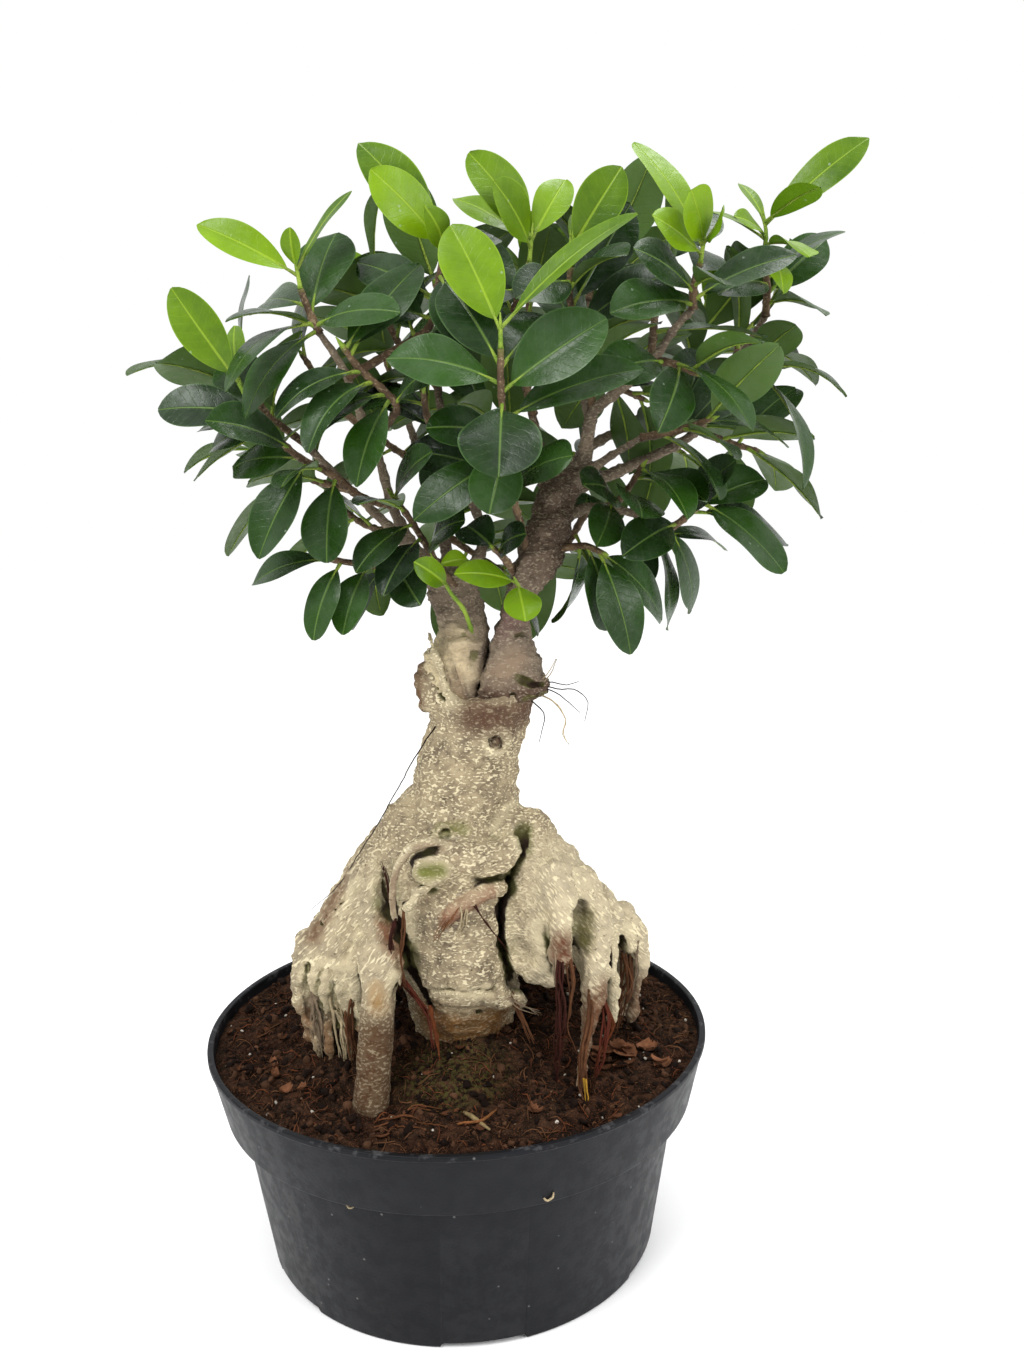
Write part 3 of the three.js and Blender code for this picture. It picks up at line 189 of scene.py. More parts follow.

# %% [markdown]
# ## Effects that several finishes share
# Bark, twigs, soil and plastic are never one colour. Patches of tone at two sizes break up every surface.
# Pores, which botanists call lenticels, are the cream dashes on ficus bark: bright spots of a noise
# that is squeezed along the growth. Deep places get a painted shade, darker brown, and moss makes them greener where
# moisture stays.
# Dust lies in a thin film with a few specks. Each effect is a node group, built once and placed in each
# material with its own values.

# %% Patches of tone
patches, given = start_group("patches of tone", {"Place": "Vector", "Size": 0.02}, {"Broad": "Float", "Fine": "Float"})
scale = sum_up(patches, "DIVIDE", 1.0, given["Size"])
broad = cloud(patches, given["Place"], scale, 5.0, Roughness=0.6)
fine = cloud(patches, given["Place"], sum_up(patches, "MULTIPLY", scale, 7.0), 4.0, Roughness=0.65)
end_group(patches, Broad=remap(patches, broad, 0.3, 0.7), Fine=remap(patches, fine, 0.3, 0.7))

# %% Pores of the bark
pores, given = start_group("pores", {"Place": "Vector", "Length": 0.0035, "Height": 0.0014, "Cover": 0.4},
                           {"Mask": "Float"})
across, up = (sum_up(pores, "DIVIDE", 1.0, given[size]) for size in ("Length", "Height"))
squeeze = add_node(pores, "CombineXYZ", X=across, Y=across, Z=up).outputs[0]
squeezed = sum_up(pores, "MULTIPLY", given["Place"], squeeze, kind="VectorMath")
wander = cloud(pores, given["Place"], 120.0, 2.0, "Color")
moved = sum_up(pores, "MULTIPLY_ADD", wander, (0.9, 0.9, 0.9), squeezed, kind="VectorMath")
dashes = cloud(pores, moved, 1.0, 1.5, Roughness=0.4)
spread = sum_up(pores, "MULTIPLY", cloud(pores, given["Place"], 70.0, 2.0), 0.16)
reach = sum_up(pores, "MULTIPLY_ADD", given["Cover"], 0.3, spread)
end_group(pores, Mask=remap(pores, sum_up(pores, "ADD", reach, dashes), 0.74, 0.82))

# %% Painted shade and moss in deep places
fold_shade_and_moss, given = start_group("painted fold shade and moss", {"Colour": "Color", "Fold": 0.0, "Moss": 0.5, "Place": "Vector"},
                                 {"Colour": "Color"})
grain = sum_up(fold_shade_and_moss, "SUBTRACT", cloud(fold_shade_and_moss, given["Place"], 420.0, 4.0), 0.5)
fold = sum_up(fold_shade_and_moss, "ADD", given["Fold"], sum_up(fold_shade_and_moss, "MULTIPLY", grain, 0.35))
# painted shade: deeper in a fold the colour is darkened towards dark brown, as if less light reached it
shaded = mix_colours(fold_shade_and_moss, remap(fold_shade_and_moss, fold, 0.36, 0.78), given["Colour"], paint(44, 33, 24))
tuft = remap(fold_shade_and_moss, cloud(fold_shade_and_moss, given["Place"], 60.0, 3.0), 0.42, 0.6)
mossy = sum_up(fold_shade_and_moss, "MULTIPLY", remap(fold_shade_and_moss, fold, 0.3, 0.5), tuft)
mossy = sum_up(fold_shade_and_moss, "MULTIPLY", mossy, given["Moss"])
end_group(fold_shade_and_moss, Colour=mix_colours(fold_shade_and_moss, mossy, shaded, paint(98, 100, 48)))

# %% Dust
dust, given = start_group("dust", {"Colour": "Color", "Dust Colour": "Color", "Amount": 0.3, "Specks": 0.5,
                                   "Place": "Vector"}, {"Colour": "Color", "Mask": "Float"})
film = remap(dust, cloud(dust, given["Place"], 55.0, 6.0, Roughness=0.65), 0.35, 0.75)
film = sum_up(dust, "MULTIPLY", film, given["Amount"])
cells = add_node(dust, "TexVoronoi", Vector=given["Place"], Scale=240.0).outputs
chosen = sum_up(dust, "LESS_THAN", add_node(dust, "SeparateColor", Color=cells["Color"]).outputs[0], 0.09)
specks = sum_up(dust, "MULTIPLY", remap(dust, cells["Distance"], 0.17, 0.08), chosen)
specks = sum_up(dust, "MULTIPLY", specks, given["Specks"])
mask = sum_up(dust, "MAXIMUM", film, specks)
end_group(dust, Colour=mix_colours(dust, mask, given["Colour"], given["Dust Colour"]), Mask=mask)

# %% How a material starts and ends
def start_material(name, tone_size, **constants):
    """A new material, its nodes, its place in metres and its patches of tone.

    Constants are set on the shader's own sockets. All pieces sit at the origin, so they share one grain."""
    material = bpy.data.materials.new(name)
    material.use_nodes = True
    tree = material.node_tree
    for socket, value in constants.items():
        tree.nodes["Principled BSDF"].inputs[socket.replace("_", " ")].default_value = value
    place = add_node(tree, "TexCoord").outputs["Object"]
    return material, tree, place, use_group(tree, patches, Place=place, Size=tone_size)


def end_material(material, colour, roughness, height=None, distance=0.0, strength=1.0):
    """Sends a colour, a roughness and a relief of some height in metres to the material's shader."""
    tree = material.node_tree
    inputs = tree.nodes["Principled BSDF"].inputs
    plug(tree, colour, inputs["Base Color"])
    plug(tree, roughness, inputs["Roughness"])
    if height is not None:
        relief = add_node(tree, "Bump", Height=height, Distance=distance, Strength=strength)
        plug(tree, relief.outputs["Normal"], inputs["Normal"])
    print("material:", material.name)


print("shared effects:", [group.name for group in bpy.data.node_groups])

# %% [markdown]
# ## Studio
# A flat floor of white paper and large soft lights give the pale, nearly shadowless look of a product picture.
# One broad light hangs above and in front to the left, so the leaves catch a soft glare on their upper
# sides, and the pot throws only a faint shadow to its right. The paper is lit from every side by a white
# room, so that no line shows where it ends.

# %% Floor and white room
FLOOR_HALF = 4.0
bpy.context.scene.view_settings.view_transform = "Standard"
paper, tree, place, tones = start_material("white paper", 0.4)
end_material(paper, mix_colours(tree, tones["Broad"], paint(255, 255, 255), paint(254, 254, 255)), 0.9)
floor_mesh = bpy.data.meshes.new("floor")
floor_mesh.from_pydata([(x * FLOOR_HALF, y * FLOOR_HALF, 0) for x, y in ((-1, -1), (1, -1), (1, 1), (-1, 1))], [],
                       [(0, 1, 2, 3)])
floor_mesh.materials.append(paper)
floor = bpy.data.objects.new("floor", floor_mesh)
bpy.context.scene.collection.objects.link(floor)

world = bpy.data.worlds.new("white room")
world.use_nodes = True
room = world.node_tree.nodes["Background"].inputs
room["Color"].default_value, room["Strength"].default_value = (1, 1, 1, 1), 1.0
bpy.context.scene.world = world
print("floor:", 2 * FLOOR_HALF, "metres wide")

# %% Lights
LIT_SPOT = Vector((0.02, 0, 0.25))
LIGHTS = [  # name, place and width in metres, power
    ("key light", (-0.8, -1.0, 1.7), 0.9, 26),
    ("top light", (0.5, 0.3, 1.7), 0.8, 12),
    ("right fill", (1.3, -1.2, 1.1), 0.8, 12),
]
for name, place, width, power in LIGHTS:
    light = bpy.data.lights.new(name, "AREA")
    light.shape, light.size, light.energy = "DISK", width, power
    lamp = bpy.data.objects.new(name, light)
    lamp.location = place
    lamp.rotation_euler = (LIT_SPOT - Vector(place)).to_track_quat("-Z", "Y").to_euler()
    bpy.context.scene.collection.objects.link(lamp)
print("lights:", len(LIGHTS))

# %% [markdown]
# ## From points to meshes
# A plant is mostly tubes and blades, and there are hundreds of them. Each helper returns plain arrays of
# points and faces, and a heap collects them into one mesh for each piece. A heap can also keep numbers
# for each point, such as how far along a leaf it is, and the materials read them as attributes.

# %% A heap of small shapes
class Heap:
    """Collects shapes of one piece. Points are in millimetres."""

    def __init__(self):
        self.points, self.faces, self.finishes, self.numbers, self.count = [], [], [], {}, 0

    def add(self, points, faces, finish=0, **numbers):
        """finish is the number of the faces' material, and numbers are kept for each point."""
        self.points.append(np.asarray(points, float))
        self.faces.extend([tuple(int(i) + self.count for i in face) for face in faces])
        self.finishes.extend([finish] * len(faces))
        for name, value in numbers.items():
            value = np.asarray(value, float)
            wide = value.shape[-1:] if value.ndim == 2 or value.shape == (3,) else ()
            self.numbers.setdefault(name, []).append(np.broadcast_to(value, (len(points), *wide)))
        self.count += len(points)

    def make(self, name, slot, materials):
        """The finished piece."""
        mesh = bpy.data.meshes.new(name)
        mesh.from_pydata((np.concatenate(self.points) * MM).tolist(), [], self.faces)
        for number, parts in self.numbers.items():
            values = np.concatenate(parts).astype(np.float32)
            kind = "FLOAT_VECTOR" if values.ndim == 2 else "FLOAT"
            store = mesh.attributes.new(number, kind, "POINT").data
            store.foreach_set("vector" if values.ndim == 2 else "value", values.ravel())
        for material in materials:
            mesh.materials.append(material)
        mesh.polygons.foreach_set("use_smooth", np.ones(len(mesh.polygons), bool))
        mesh.polygons.foreach_set("material_index", np.array(self.finishes, np.int32))
        piece = bpy.data.objects.new(name, mesh)
        bpy.context.scene.collection.objects.link(piece)
        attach(piece, "root")
        return piece


def unit(vectors):
    vectors = np.asarray(vectors, float)
    return vectors / np.maximum(np.linalg.norm(vectors, axis=-1, keepdims=True), 1e-9)


def smooth_path(path, step):
    """Points [x, y, z, radius] joined by a curve that runs through them, a step apart."""
    path = np.asarray(path, float)
    if len(path) == 2:
        return path[0] + (path[1] - path[0]) * np.linspace(0, 1, 4)[:, None]
    ends = np.vstack([2 * path[0] - path[1], path, 2 * path[-1] - path[-2]])
    ends[[0, -1], 3] = path[[0, -1], 3]
    out = []
    for i in range(1, len(ends) - 2):
        count = max(2, int(np.linalg.norm(ends[i + 1, :3] - ends[i, :3]) / step))
        t = (np.arange(count) / count)[:, None]
        a, b, c, d = ends[i - 1:i + 3]
        out.append(0.5 * (2 * b + (c - a) * t + (2 * a - 5 * b + 4 * c - d) * t ** 2
                          + (3 * b - a - 3 * c + d) * t ** 3))
    return np.vstack([*out, path[-1]])


def tube(path, sides, rough=0.0, seed=0.0):
    """A closed round tube along points [x, y, z, radius], with a knobbly skin if rough is above 0."""
    path = np.asarray(path, float)
    spots, radii = path[:, :3], path[:, 3]
    along = unit(np.gradient(spots, axis=0))
    across = np.cross(along[0], (0.31, 0.95, 0.11))
    angles = np.arange(sides) * 2 * math.pi / sides
    rings = []
    for spot, radius, line in zip(spots, radii, along):
        across = unit(across - line * np.dot(across, line))
        other = np.cross(line, across)
        ring = np.cos(angles)[:, None] * across + np.sin(angles)[:, None] * other
        if rough:
            lumps = [1 + rough * noise.noise(Vector((spot + radius * way) / (radius + 1) + seed)) for way in ring]
            ring = ring * np.array(lumps)[:, None]
        rings.append(spot + radius * ring)
    points = np.vstack([*rings, spots[0], spots[-1]])
    faces = []
    for i in range(len(path) - 1):
        low = i * sides
        for j in range(sides):
            k = (j + 1) % sides
            faces.append((low + j, low + k, low + sides + k, low + sides + j))
    start, end = len(points) - 2, len(points) - 1
    last = (len(path) - 1) * sides
    for j in range(sides):
        k = (j + 1) % sides
        faces.append((start, k, j))
        faces.append((end, last + j, last + k))
    return points, faces


def grid_quads(rows, columns):
    """The quads of a sheet whose points are counted row by row."""
    grid = np.arange(rows * columns).reshape(rows, columns)
    return np.stack([grid[:-1, :-1], grid[:-1, 1:], grid[1:, 1:], grid[1:, :-1]], -1).reshape(-1, 4)


print("mesh helpers ready")

# %% [markdown]
# ## The pot
# The pot is one injection-moulded nursery container: a thin wall, a stepped band under the rim that
# lets the pots stack, a foot ring with notches for water and six drain holes. A lathe shape is
# right for it, because every section round the axis is the same. The profile gets small roundings at each
# corner, because moulded plastic has no sharp edges and they catch the light. The notches and holes
# are then cut with Booleans.

# %% The pot's profile
RIM_RADIUS, POT_HEIGHT = 115, 102
BAND_RADIUS, BAND_BOTTOM = 108.2, 72.6
WALL_TOP_RADIUS, WALL_FOOT_RADIUS, WALL = 101.5, 90.8, 1.7
FLOOR_UNDERSIDE, FLOOR_TOP = 3.4, 5.4
PROFILE = [  # radius, height, rounding
    (0, 0, 0), (14, 0, 0.8), (16, FLOOR_UNDERSIDE, 0.6), (86, FLOOR_UNDERSIDE, 0.5), (86, 0, 0.4),
    (WALL_FOOT_RADIUS - 0.6, 0, 1.3), (WALL_TOP_RADIUS, BAND_BOTTOM, 0.5), (BAND_RADIUS, BAND_BOTTOM, 0.9),
    (114.3, 99.4, 0.3), (RIM_RADIUS, 99.9, 0.25), (RIM_RADIUS, POT_HEIGHT, 0.7), (112.2, POT_HEIGHT, 0.7),
    (112.0, 99, 0.6), (106.9, BAND_BOTTOM + WALL, 0.6), (99.9, BAND_BOTTOM + WALL, 0.6), (90.2, FLOOR_TOP, 1.2),
    (0, FLOOR_TOP, 0),
]


def round_corners(profile, steps=4):
    """Replaces each corner by a short curve."""
    spots = np.array(profile, float)
    out = [spots[0, :2]]
    for before, corner, after in zip(spots[:-2], spots[1:-1], spots[2:]):
        reach = corner[2]
        start = corner[:2] + unit(before[:2] - corner[:2]) * reach
        end = corner[:2] + unit(after[:2] - corner[:2]) * reach
        for t in np.linspace(0, 1, steps):
            out.append((1 - t) ** 2 * start + 2 * t * (1 - t) * corner[:2] + t * t * end)
    return np.array([*out, spots[-1, :2]])


def lathe(profile, sides):
    """Turns a profile that starts and ends on the axis."""
    angles = np.arange(sides) * 2 * math.pi / sides
    middle = profile[1:-1]
    rings = [np.stack([r * np.cos(angles), r * np.sin(angles), np.full(sides, z)], 1) for r, z in middle]
    points = np.vstack([*rings, (0, 0, profile[0, 1]), (0, 0, profile[-1, 1])])
    faces = []
    for j in range(sides):
        k = (j + 1) % sides
        faces.append((len(points) - 2, k, j))
        faces.append((len(points) - 1, (len(middle) - 1) * sides + j, (len(middle) - 1) * sides + k))
        for i in range(len(middle) - 1):
            faces.append((i * sides + j, i * sides + k, (i + 1) * sides + k, (i + 1) * sides + j))
    return points, faces


print("profile points:", len(round_corners(PROFILE)))

# %% [markdown]
# ## The pot's plastic
# The plastic is charcoal grey and satin, with a fine grain from its mould. A flat dark colour would look like
# a cut-out, so two close greys are mixed in patches, a few pale specks of dust lie on it, and the lip is
# rubbed a little paler where hands and other pots touch it. The lip is found by its height.

# %% The pot's plastic
LIP_BOTTOM, LIP_TOP = 0.0985, 0.1005
plastic, tree, place, tones = start_material("charcoal plastic", 0.05, Specular_IOR_Level=0.12)
base = mix_colours(tree, tones["Broad"], paint(13, 14, 17), paint(18, 19, 23))
dusty = use_group(tree, dust, Colour=base, Dust_Colour=paint(150, 148, 145), Amount=0.006, Specks=0.3, Place=place)
height = add_node(tree, "SeparateXYZ", Vector=place).outputs["Z"]
lip = sum_up(tree, "MULTIPLY", remap(tree, height, LIP_BOTTOM, LIP_TOP), remap(tree, tones["Fine"], 0.6, 1.0, 0, 0.2))
worn = mix_colours(tree, lip, dusty["Colour"], paint(120, 120, 122))
satin = remap(tree, tones["Fine"], 0, 1, 0.4, 0.52)
end_material(plastic, worn, satin, cloud(tree, place, 900.0, 3.0), 0.00012, 0.5)

# %% The pot itself
POT_SIDES = 192
NOTCHES, FIRST_NOTCH = 6, math.radians(-86)
NOTCH_INNER, NOTCH_OUTER = 84.8, 97
NOTCH_LEVELS = ((-1, 19), (2.6, 17))  # height, half width
DRAIN_HOLES, DRAIN_CIRCLE, DRAIN_RADIUS, DRAIN_SIDES = 6, 70, 4.5, 24
BOX_FACES = [(0, 3, 2, 1), (4, 5, 6, 7), (0, 1, 5, 4), (1, 2, 6, 5), (2, 3, 7, 6), (3, 0, 4, 7)]


def cut_out(piece, cutter):
    """Cuts the cutter out of the piece with a Boolean, and removes the cutter."""
    cut = piece.modifiers.new("cut", "BOOLEAN")
    cut.object, cut.solver = cutter, "EXACT"
    bpy.context.view_layer.update()
    seen = bpy.context.evaluated_depsgraph_get()
    result = bpy.data.meshes.new_from_object(piece.evaluated_get(seen))
    piece.modifiers.clear()
    piece.data = result
    bpy.data.objects.remove(cutter)


pot_heap, cutters = Heap(), Heap()
pot_heap.add(*lathe(round_corners(PROFILE), POT_SIDES))
for i in range(NOTCHES):
    turn = FIRST_NOTCH + i * 2 * math.pi / NOTCHES
    outline = [(r, side, z) for z, half in NOTCH_LEVELS for r, side in
               ((NOTCH_INNER, -half), (NOTCH_OUTER, -half), (NOTCH_OUTER, half), (NOTCH_INNER, half))]
    box = [(r * math.cos(turn) - s * math.sin(turn), r * math.sin(turn) + s * math.cos(turn), z) for r, s, z in outline]
    cutters.add(box, BOX_FACES)
for i in range(DRAIN_HOLES):
    turn = (i + 0.5) * 2 * math.pi / DRAIN_HOLES
    x, y = DRAIN_CIRCLE * math.cos(turn), DRAIN_CIRCLE * math.sin(turn)
    cutters.add(*tube([(x, y, z, DRAIN_RADIUS) for z in (1, 4, 9)], DRAIN_SIDES))
pot = pot_heap.make("nursery_pot", "pot_plastic", [plastic])
cut_out(pot, cutters.make("pot_cutters", "pot_plastic", [plastic]))
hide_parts("pot")
print("pot faces:", len(pot.data.polygons))

# %% [markdown]
# ## Soil
# The pot is filled with peat mix: dark crumbs held by red-brown fibres, with a few grains of white
# perlite. The filling is one closed body. Its top follows the measured mound, roughened with noise at
# three sizes, and loose crumbs and fibres lie on it as small meshes, because the light must catch their
# edges. The soil is a little higher where it is heaped against the tree.

# %% The soil's height
SOIL_RADIUS, MOUND_RADIUS = 112.0, 104
MOUND_EDGE, MOUND_RISE, BUMP_RISE = 98, 8, 1.3
RIM_SOIL, RIM_WIDTH = 97.0, 6
EARTH_HEAPS = [(-4, -58, 15, 3.5), (8, -36, 26, 5), (-30, -20, 24, 4), (30, -22, 26, 4), (-20, 8, 30, 4)]
SOIL_GRAINS = ((1.8, 15), (1.8, 6), (1.4, 2.8))  # height and length of the noise


def soil_height(x, y):
    """The measured mound with its gentle bumps, in millimetres."""
    share = np.minimum(np.hypot(x, y) / MOUND_RADIUS, 1)
    bumps = np.sin(x / 9) * np.sin(y / 11) + np.sin((x + y) / 17) / 2
    return MOUND_EDGE + MOUND_RISE * (1 - share ** 2) + BUMP_RISE * bumps * (1 - share ** 6)


def soil_surface(x, y):
    """The height with heaps and crumbs, calmer along the pot's wall."""
    height = float(soil_height(x, y))
    for heap_x, heap_y, reach, rise in EARTH_HEAPS:
        height += rise * math.exp(-((x - heap_x) ** 2 + (y - heap_y) ** 2) / reach ** 2)
    here = Vector((x, y, 3.0))
    height += sum(rise * noise.noise(here / length) for rise, length in SOIL_GRAINS)
    inward = min(1.0, max(0.0, (SOIL_RADIUS - math.hypot(x, y)) / RIM_WIDTH))
    return height * inward + (RIM_SOIL + 0.8 * noise.noise(here / 9)) * (1 - inward)


print("soil height in front of the tree:", round(soil_surface(0, -60), 1), "mm")

# %% [markdown]
# ## The soil's colours
# The peat is darkened nearly to black in its hollows, a painted shade, and is red-brown on its crumbs; thin
# fibres cross it. Colour alone can't tell a hollow from a crumb, so the mesh keeps how far each point rises. The
# fibres are the places where a stretched noise passes its middle value, which draws thin wandering lines. Green
# lies only in front of the belly, within a soft ball.

# %% The soil's material
peat, tree, place, tones = start_material("peat", 0.012, Specular_IOR_Level=0.04)
base = mix_colours(tree, tones["Broad"], paint(8, 5, 4), paint(22, 14, 10))
# painted shade: low points of the soil stay dark, and points that rise are painted red-brown
base = mix_colours(tree, remap(tree, attribute(tree, "rise"), 0.35, 1.0, 0, 0.8), base, paint(60, 40, 29))
base = mix_colours(tree, tones["Fine"], base, paint(22, 14, 10), 0.7)
threads = sum_up(tree, "SUBTRACT", cloud(tree, place, 210.0, 2.0, Distortion=3.5), 0.5)
threads = remap(tree, sum_up(tree, "ABSOLUTE", threads), 0.02, 0.005)
base = mix_colours(tree, threads, base, paint(110, 68, 44), 0.6)
from_belly = add_node(tree, "Mapping", Vector=place, Location=(0.12, 1.9, -3.4), Scale=(30, 32, 32)).outputs[0]
damp = add_node(tree, "TexGradient", {"gradient_type": "SPHERICAL"}, Vector=from_belly).outputs["Fac"]
green = sum_up(tree, "MULTIPLY", remap(tree, damp, 0.05, 0.6), remap(tree, tones["Fine"], 0.3, 0.8))
base = mix_colours(tree, green, base, paint(74, 72, 36), 0.55)
dusty = use_group(tree, dust, Colour=base, Dust_Colour=paint(150, 128, 104), Amount=0.04, Specks=0.4, Place=place)
grains = add_node(tree, "TexVoronoi", Vector=place, Scale=520.0).outputs["Distance"]
relief = sum_up(tree, "ADD", cloud(tree, place, 420.0, 6.0), sum_up(tree, "MULTIPLY", grains, -0.5))
end_material(peat, dusty["Colour"], 0.95, relief, 0.0022, 0.9)

# %% The soil's body
SOIL_RINGS, SOIL_SIDES = ((130, 360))
UNDER_SOIL = ((111.4, 95), (106.5, 74.8), (99.6, 74.7), (89.5, 5.9))  # radius, height


def soil_body():
    """The filling's top in rings from the middle outward, its side along the pot's wall, and its bottom."""
    turns = np.arange(SOIL_SIDES) * 2 * math.pi / SOIL_SIDES
    spots = [(0, 0)]
    for i in range(1, SOIL_RINGS + 1):
        radius = SOIL_RADIUS * (i / SOIL_RINGS) ** 0.9
        spots += [(radius * math.cos(t), radius * math.sin(t)) for t in turns]
    points, faces = [(x, y, soil_surface(x, y)) for x, y in spots], []
    for radius, height in UNDER_SOIL:
        points += [(radius * math.cos(t), radius * math.sin(t), height) for t in turns]
    points.append((0, 0, UNDER_SOIL[-1][1]))
    rings = (len(points) - 2) // SOIL_SIDES
    last = 1 + (rings - 1) * SOIL_SIDES
    for j in range(SOIL_SIDES):
        k = (j + 1) % SOIL_SIDES
        faces.append((0, 1 + j, 1 + k))
        for low in range(1, last, SOIL_SIDES):
            faces.append((low + j, low + SOIL_SIDES + j, low + SOIL_SIDES + k, low + k))
        faces.append((len(points) - 1, last + k, last + j))
    return np.array(points), faces


points, faces = soil_body()
lumps = [noise.noise(Vector((x, y, 3)) / 6) + noise.noise(Vector((x, y, 3)) / 2.8) for x, y, z in points]
soil_heap = Heap()
soil_heap.add(points, faces, rise=np.clip(0.5 + 0.9 * np.array(lumps), 0, 1))
soil = soil_heap.make("peat_filling", "peat_soil", [peat])
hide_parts("soil")
print("soil faces:", len(soil.data.polygons))

# %% [markdown]
# ## Swollen wood
# The root swelled before it was potted, so it has no straight line anywhere: a neck, a belly, lobes that
# run out into claws, and a root folded across its front. Metaballs give such forms, but they are hard to
# aim. Here the wood is a blend of round bars along chains of points, added up on a fine grid of distances.
# Bars can also be carved away, which gives creases, hollows and a pruning scar. OpenVDB turns the grid into
# a mesh of even quads, and noise then moves its points, which gives the wrinkles of bark.

# %% Wood as a field of distances
class Wood:
    """Distances to the wood's skin on a grid, below zero inside. Millimetres."""
    FAR, MARGIN = 60.0, 4

    def __init__(self, low, high, cell):
        self.cell = cell
        self.axes = [np.arange(low[k], high[k] + cell, cell) for k in range(3)]
        self.low = np.array(low, float)
        self.values = np.full([len(axis) for axis in self.axes], self.FAR, np.float32)

    def near(self, chain, blend):
        """The part of the grid round a chain of bars, and the distances to the bars there."""
        chain = np.array(chain, float)
        reach = chain[:, 3].max() + blend + self.MARGIN * self.cell
        window = []
        for k, axis in enumerate(self.axes):
            start, end = np.searchsorted(axis, (chain[:, k].min() - reach, chain[:, k].max() + reach))
            window.append(slice(start, end))
        x, y, z = np.meshgrid(*[axis[part].astype(np.float32) for axis, part in zip(self.axes, window)],
                              indexing="ij", sparse=True)
        nearest = np.float32(self.FAR)
        for a, b in zip(chain, chain[1:]):
            d = b - a
            t = ((x - a[0]) * d[0] + (y - a[1]) * d[1] + (z - a[2]) * d[2]) / (d[:3] @ d[:3])
            t = np.clip(t, 0, 1)
            gap = np.sqrt((x - a[0] - t * d[0]) ** 2 + (y - a[1] - t * d[1]) ** 2 + (z - a[2] - t * d[2]) ** 2)
            nearest = np.minimum(nearest, gap - a[3] - t * d[3])
        return tuple(window), nearest

    def grow(self, chain, blend):
        window, nearest = self.near(chain, blend)
        old = self.values[window]
        closeness = np.maximum(blend - np.abs(old - nearest), 0) / blend
        self.values[window] = np.minimum(old, nearest) - closeness ** 2 * blend / 4

    def carve(self, chain, blend):
        window, nearest = self.near(chain, blend)
        old = self.values[window]
        closeness = np.maximum(blend - np.abs(old + nearest), 0) / blend
        self.values[window] = np.maximum(old, -nearest) + closeness ** 2 * blend / 4

    def keep(self, distance):
        """Keeps only what is below zero in another field. distance takes x, y and z."""
        x, y, z = np.meshgrid(*[axis.astype(np.float32) for axis in self.axes], indexing="ij", sparse=True)
        self.values = np.maximum(self.values, distance(x, y, z)).astype(np.float32)

    def sample(self, points):
        """Distances at any points, between those of the grid."""
        place = (points - self.low) / self.cell
        place = np.clip(place, 0, np.array(self.values.shape) - 1.001)
        base = place.astype(int)
        part = place - base
        total = 0
        for corner in np.ndindex(2, 2, 2):
            weight = np.prod(np.where(corner, part, 1 - part), axis=1)
            total = total + weight * self.values[tuple((base + corner).T)]
        return total

    def skin(self):
        """Points and quads of the wood's surface, and the directions in which it faces."""
        grid = openvdb.FloatGrid(self.FAR)
        grid.copyFromArray(np.clip(self.values, -self.FAR, self.FAR))
        spots, quads = grid.convertToQuads(0.0)
        points = self.low + spots.astype(float) * self.cell
        step = np.eye(3) * self.cell
        facing = np.stack([self.sample(points + s) - self.sample(points - s) for s in step], 1)
        return points, quads, unit(facing)

    def folded(self, points, facing, reach):
        """How deep each point lies in a fold: 1 where wood stands straight ahead of it."""
        return np.clip((reach - self.sample(points + facing * reach)) / reach, 0, 1)


print("distances are kept up to", Wood.FAR, "mm")

# %% Wrinkles, stains and masks of the wood
def wrinkle(points, facing, sizes, share=1.0):
    """Moves points along their facing by layers of noise: (height, length, flatness) in millimetres."""
    moved = np.zeros(len(points))
    for depth, length, flatness in sizes:
        scaled = points / np.array([length, length, length / flatness])
        moved += [depth * noise.noise(Vector(place)) for place in scaled]
    return points + facing * (moved * share)[:, None]


def chain_weight(points, chain, reach):
    """1 near a chain of points [x, y, z], fading to 0 at the reach."""
    chain = np.array(chain, float)[:, :3]
    nearest = np.full(len(points), 1e9)
    for a, b in zip(chain, chain[1:]):
        d = b - a
        t = np.clip(((points - a) @ d) / (d @ d), 0, 1)
        nearest = np.minimum(nearest, np.linalg.norm(points - a - t[:, None] * d, axis=1))
    return np.clip(1.5 - nearest / reach * 1.5, 0, 1)


def stain_points(points, stains):
    """The colour of the stains at each point, and how much they cover it."""
    colour, cover = np.ones((len(points), 3)), np.zeros(len(points))
    for reach, tint, chain in stains:
        weight = chain_weight(points, chain, reach)
        share = np.clip(weight / np.maximum(cover + weight, 1e-6), 0, 1)[:, None]
        colour = colour * (1 - share) + np.array(tint[:3]) * share
        cover = np.maximum(cover, weight)
    return colour, cover


def ease(values, start, reach):
    """0 up to the start, rising to 1 over the reach. A reach below zero rises the other way."""
    return np.clip((values - start) / reach, 0, 1)


print("half way along the reach, a stain weighs", chain_weight(np.array([[0, 5, 0]]), [[0, 0, 0], [9, 0, 0]], 10)[0])

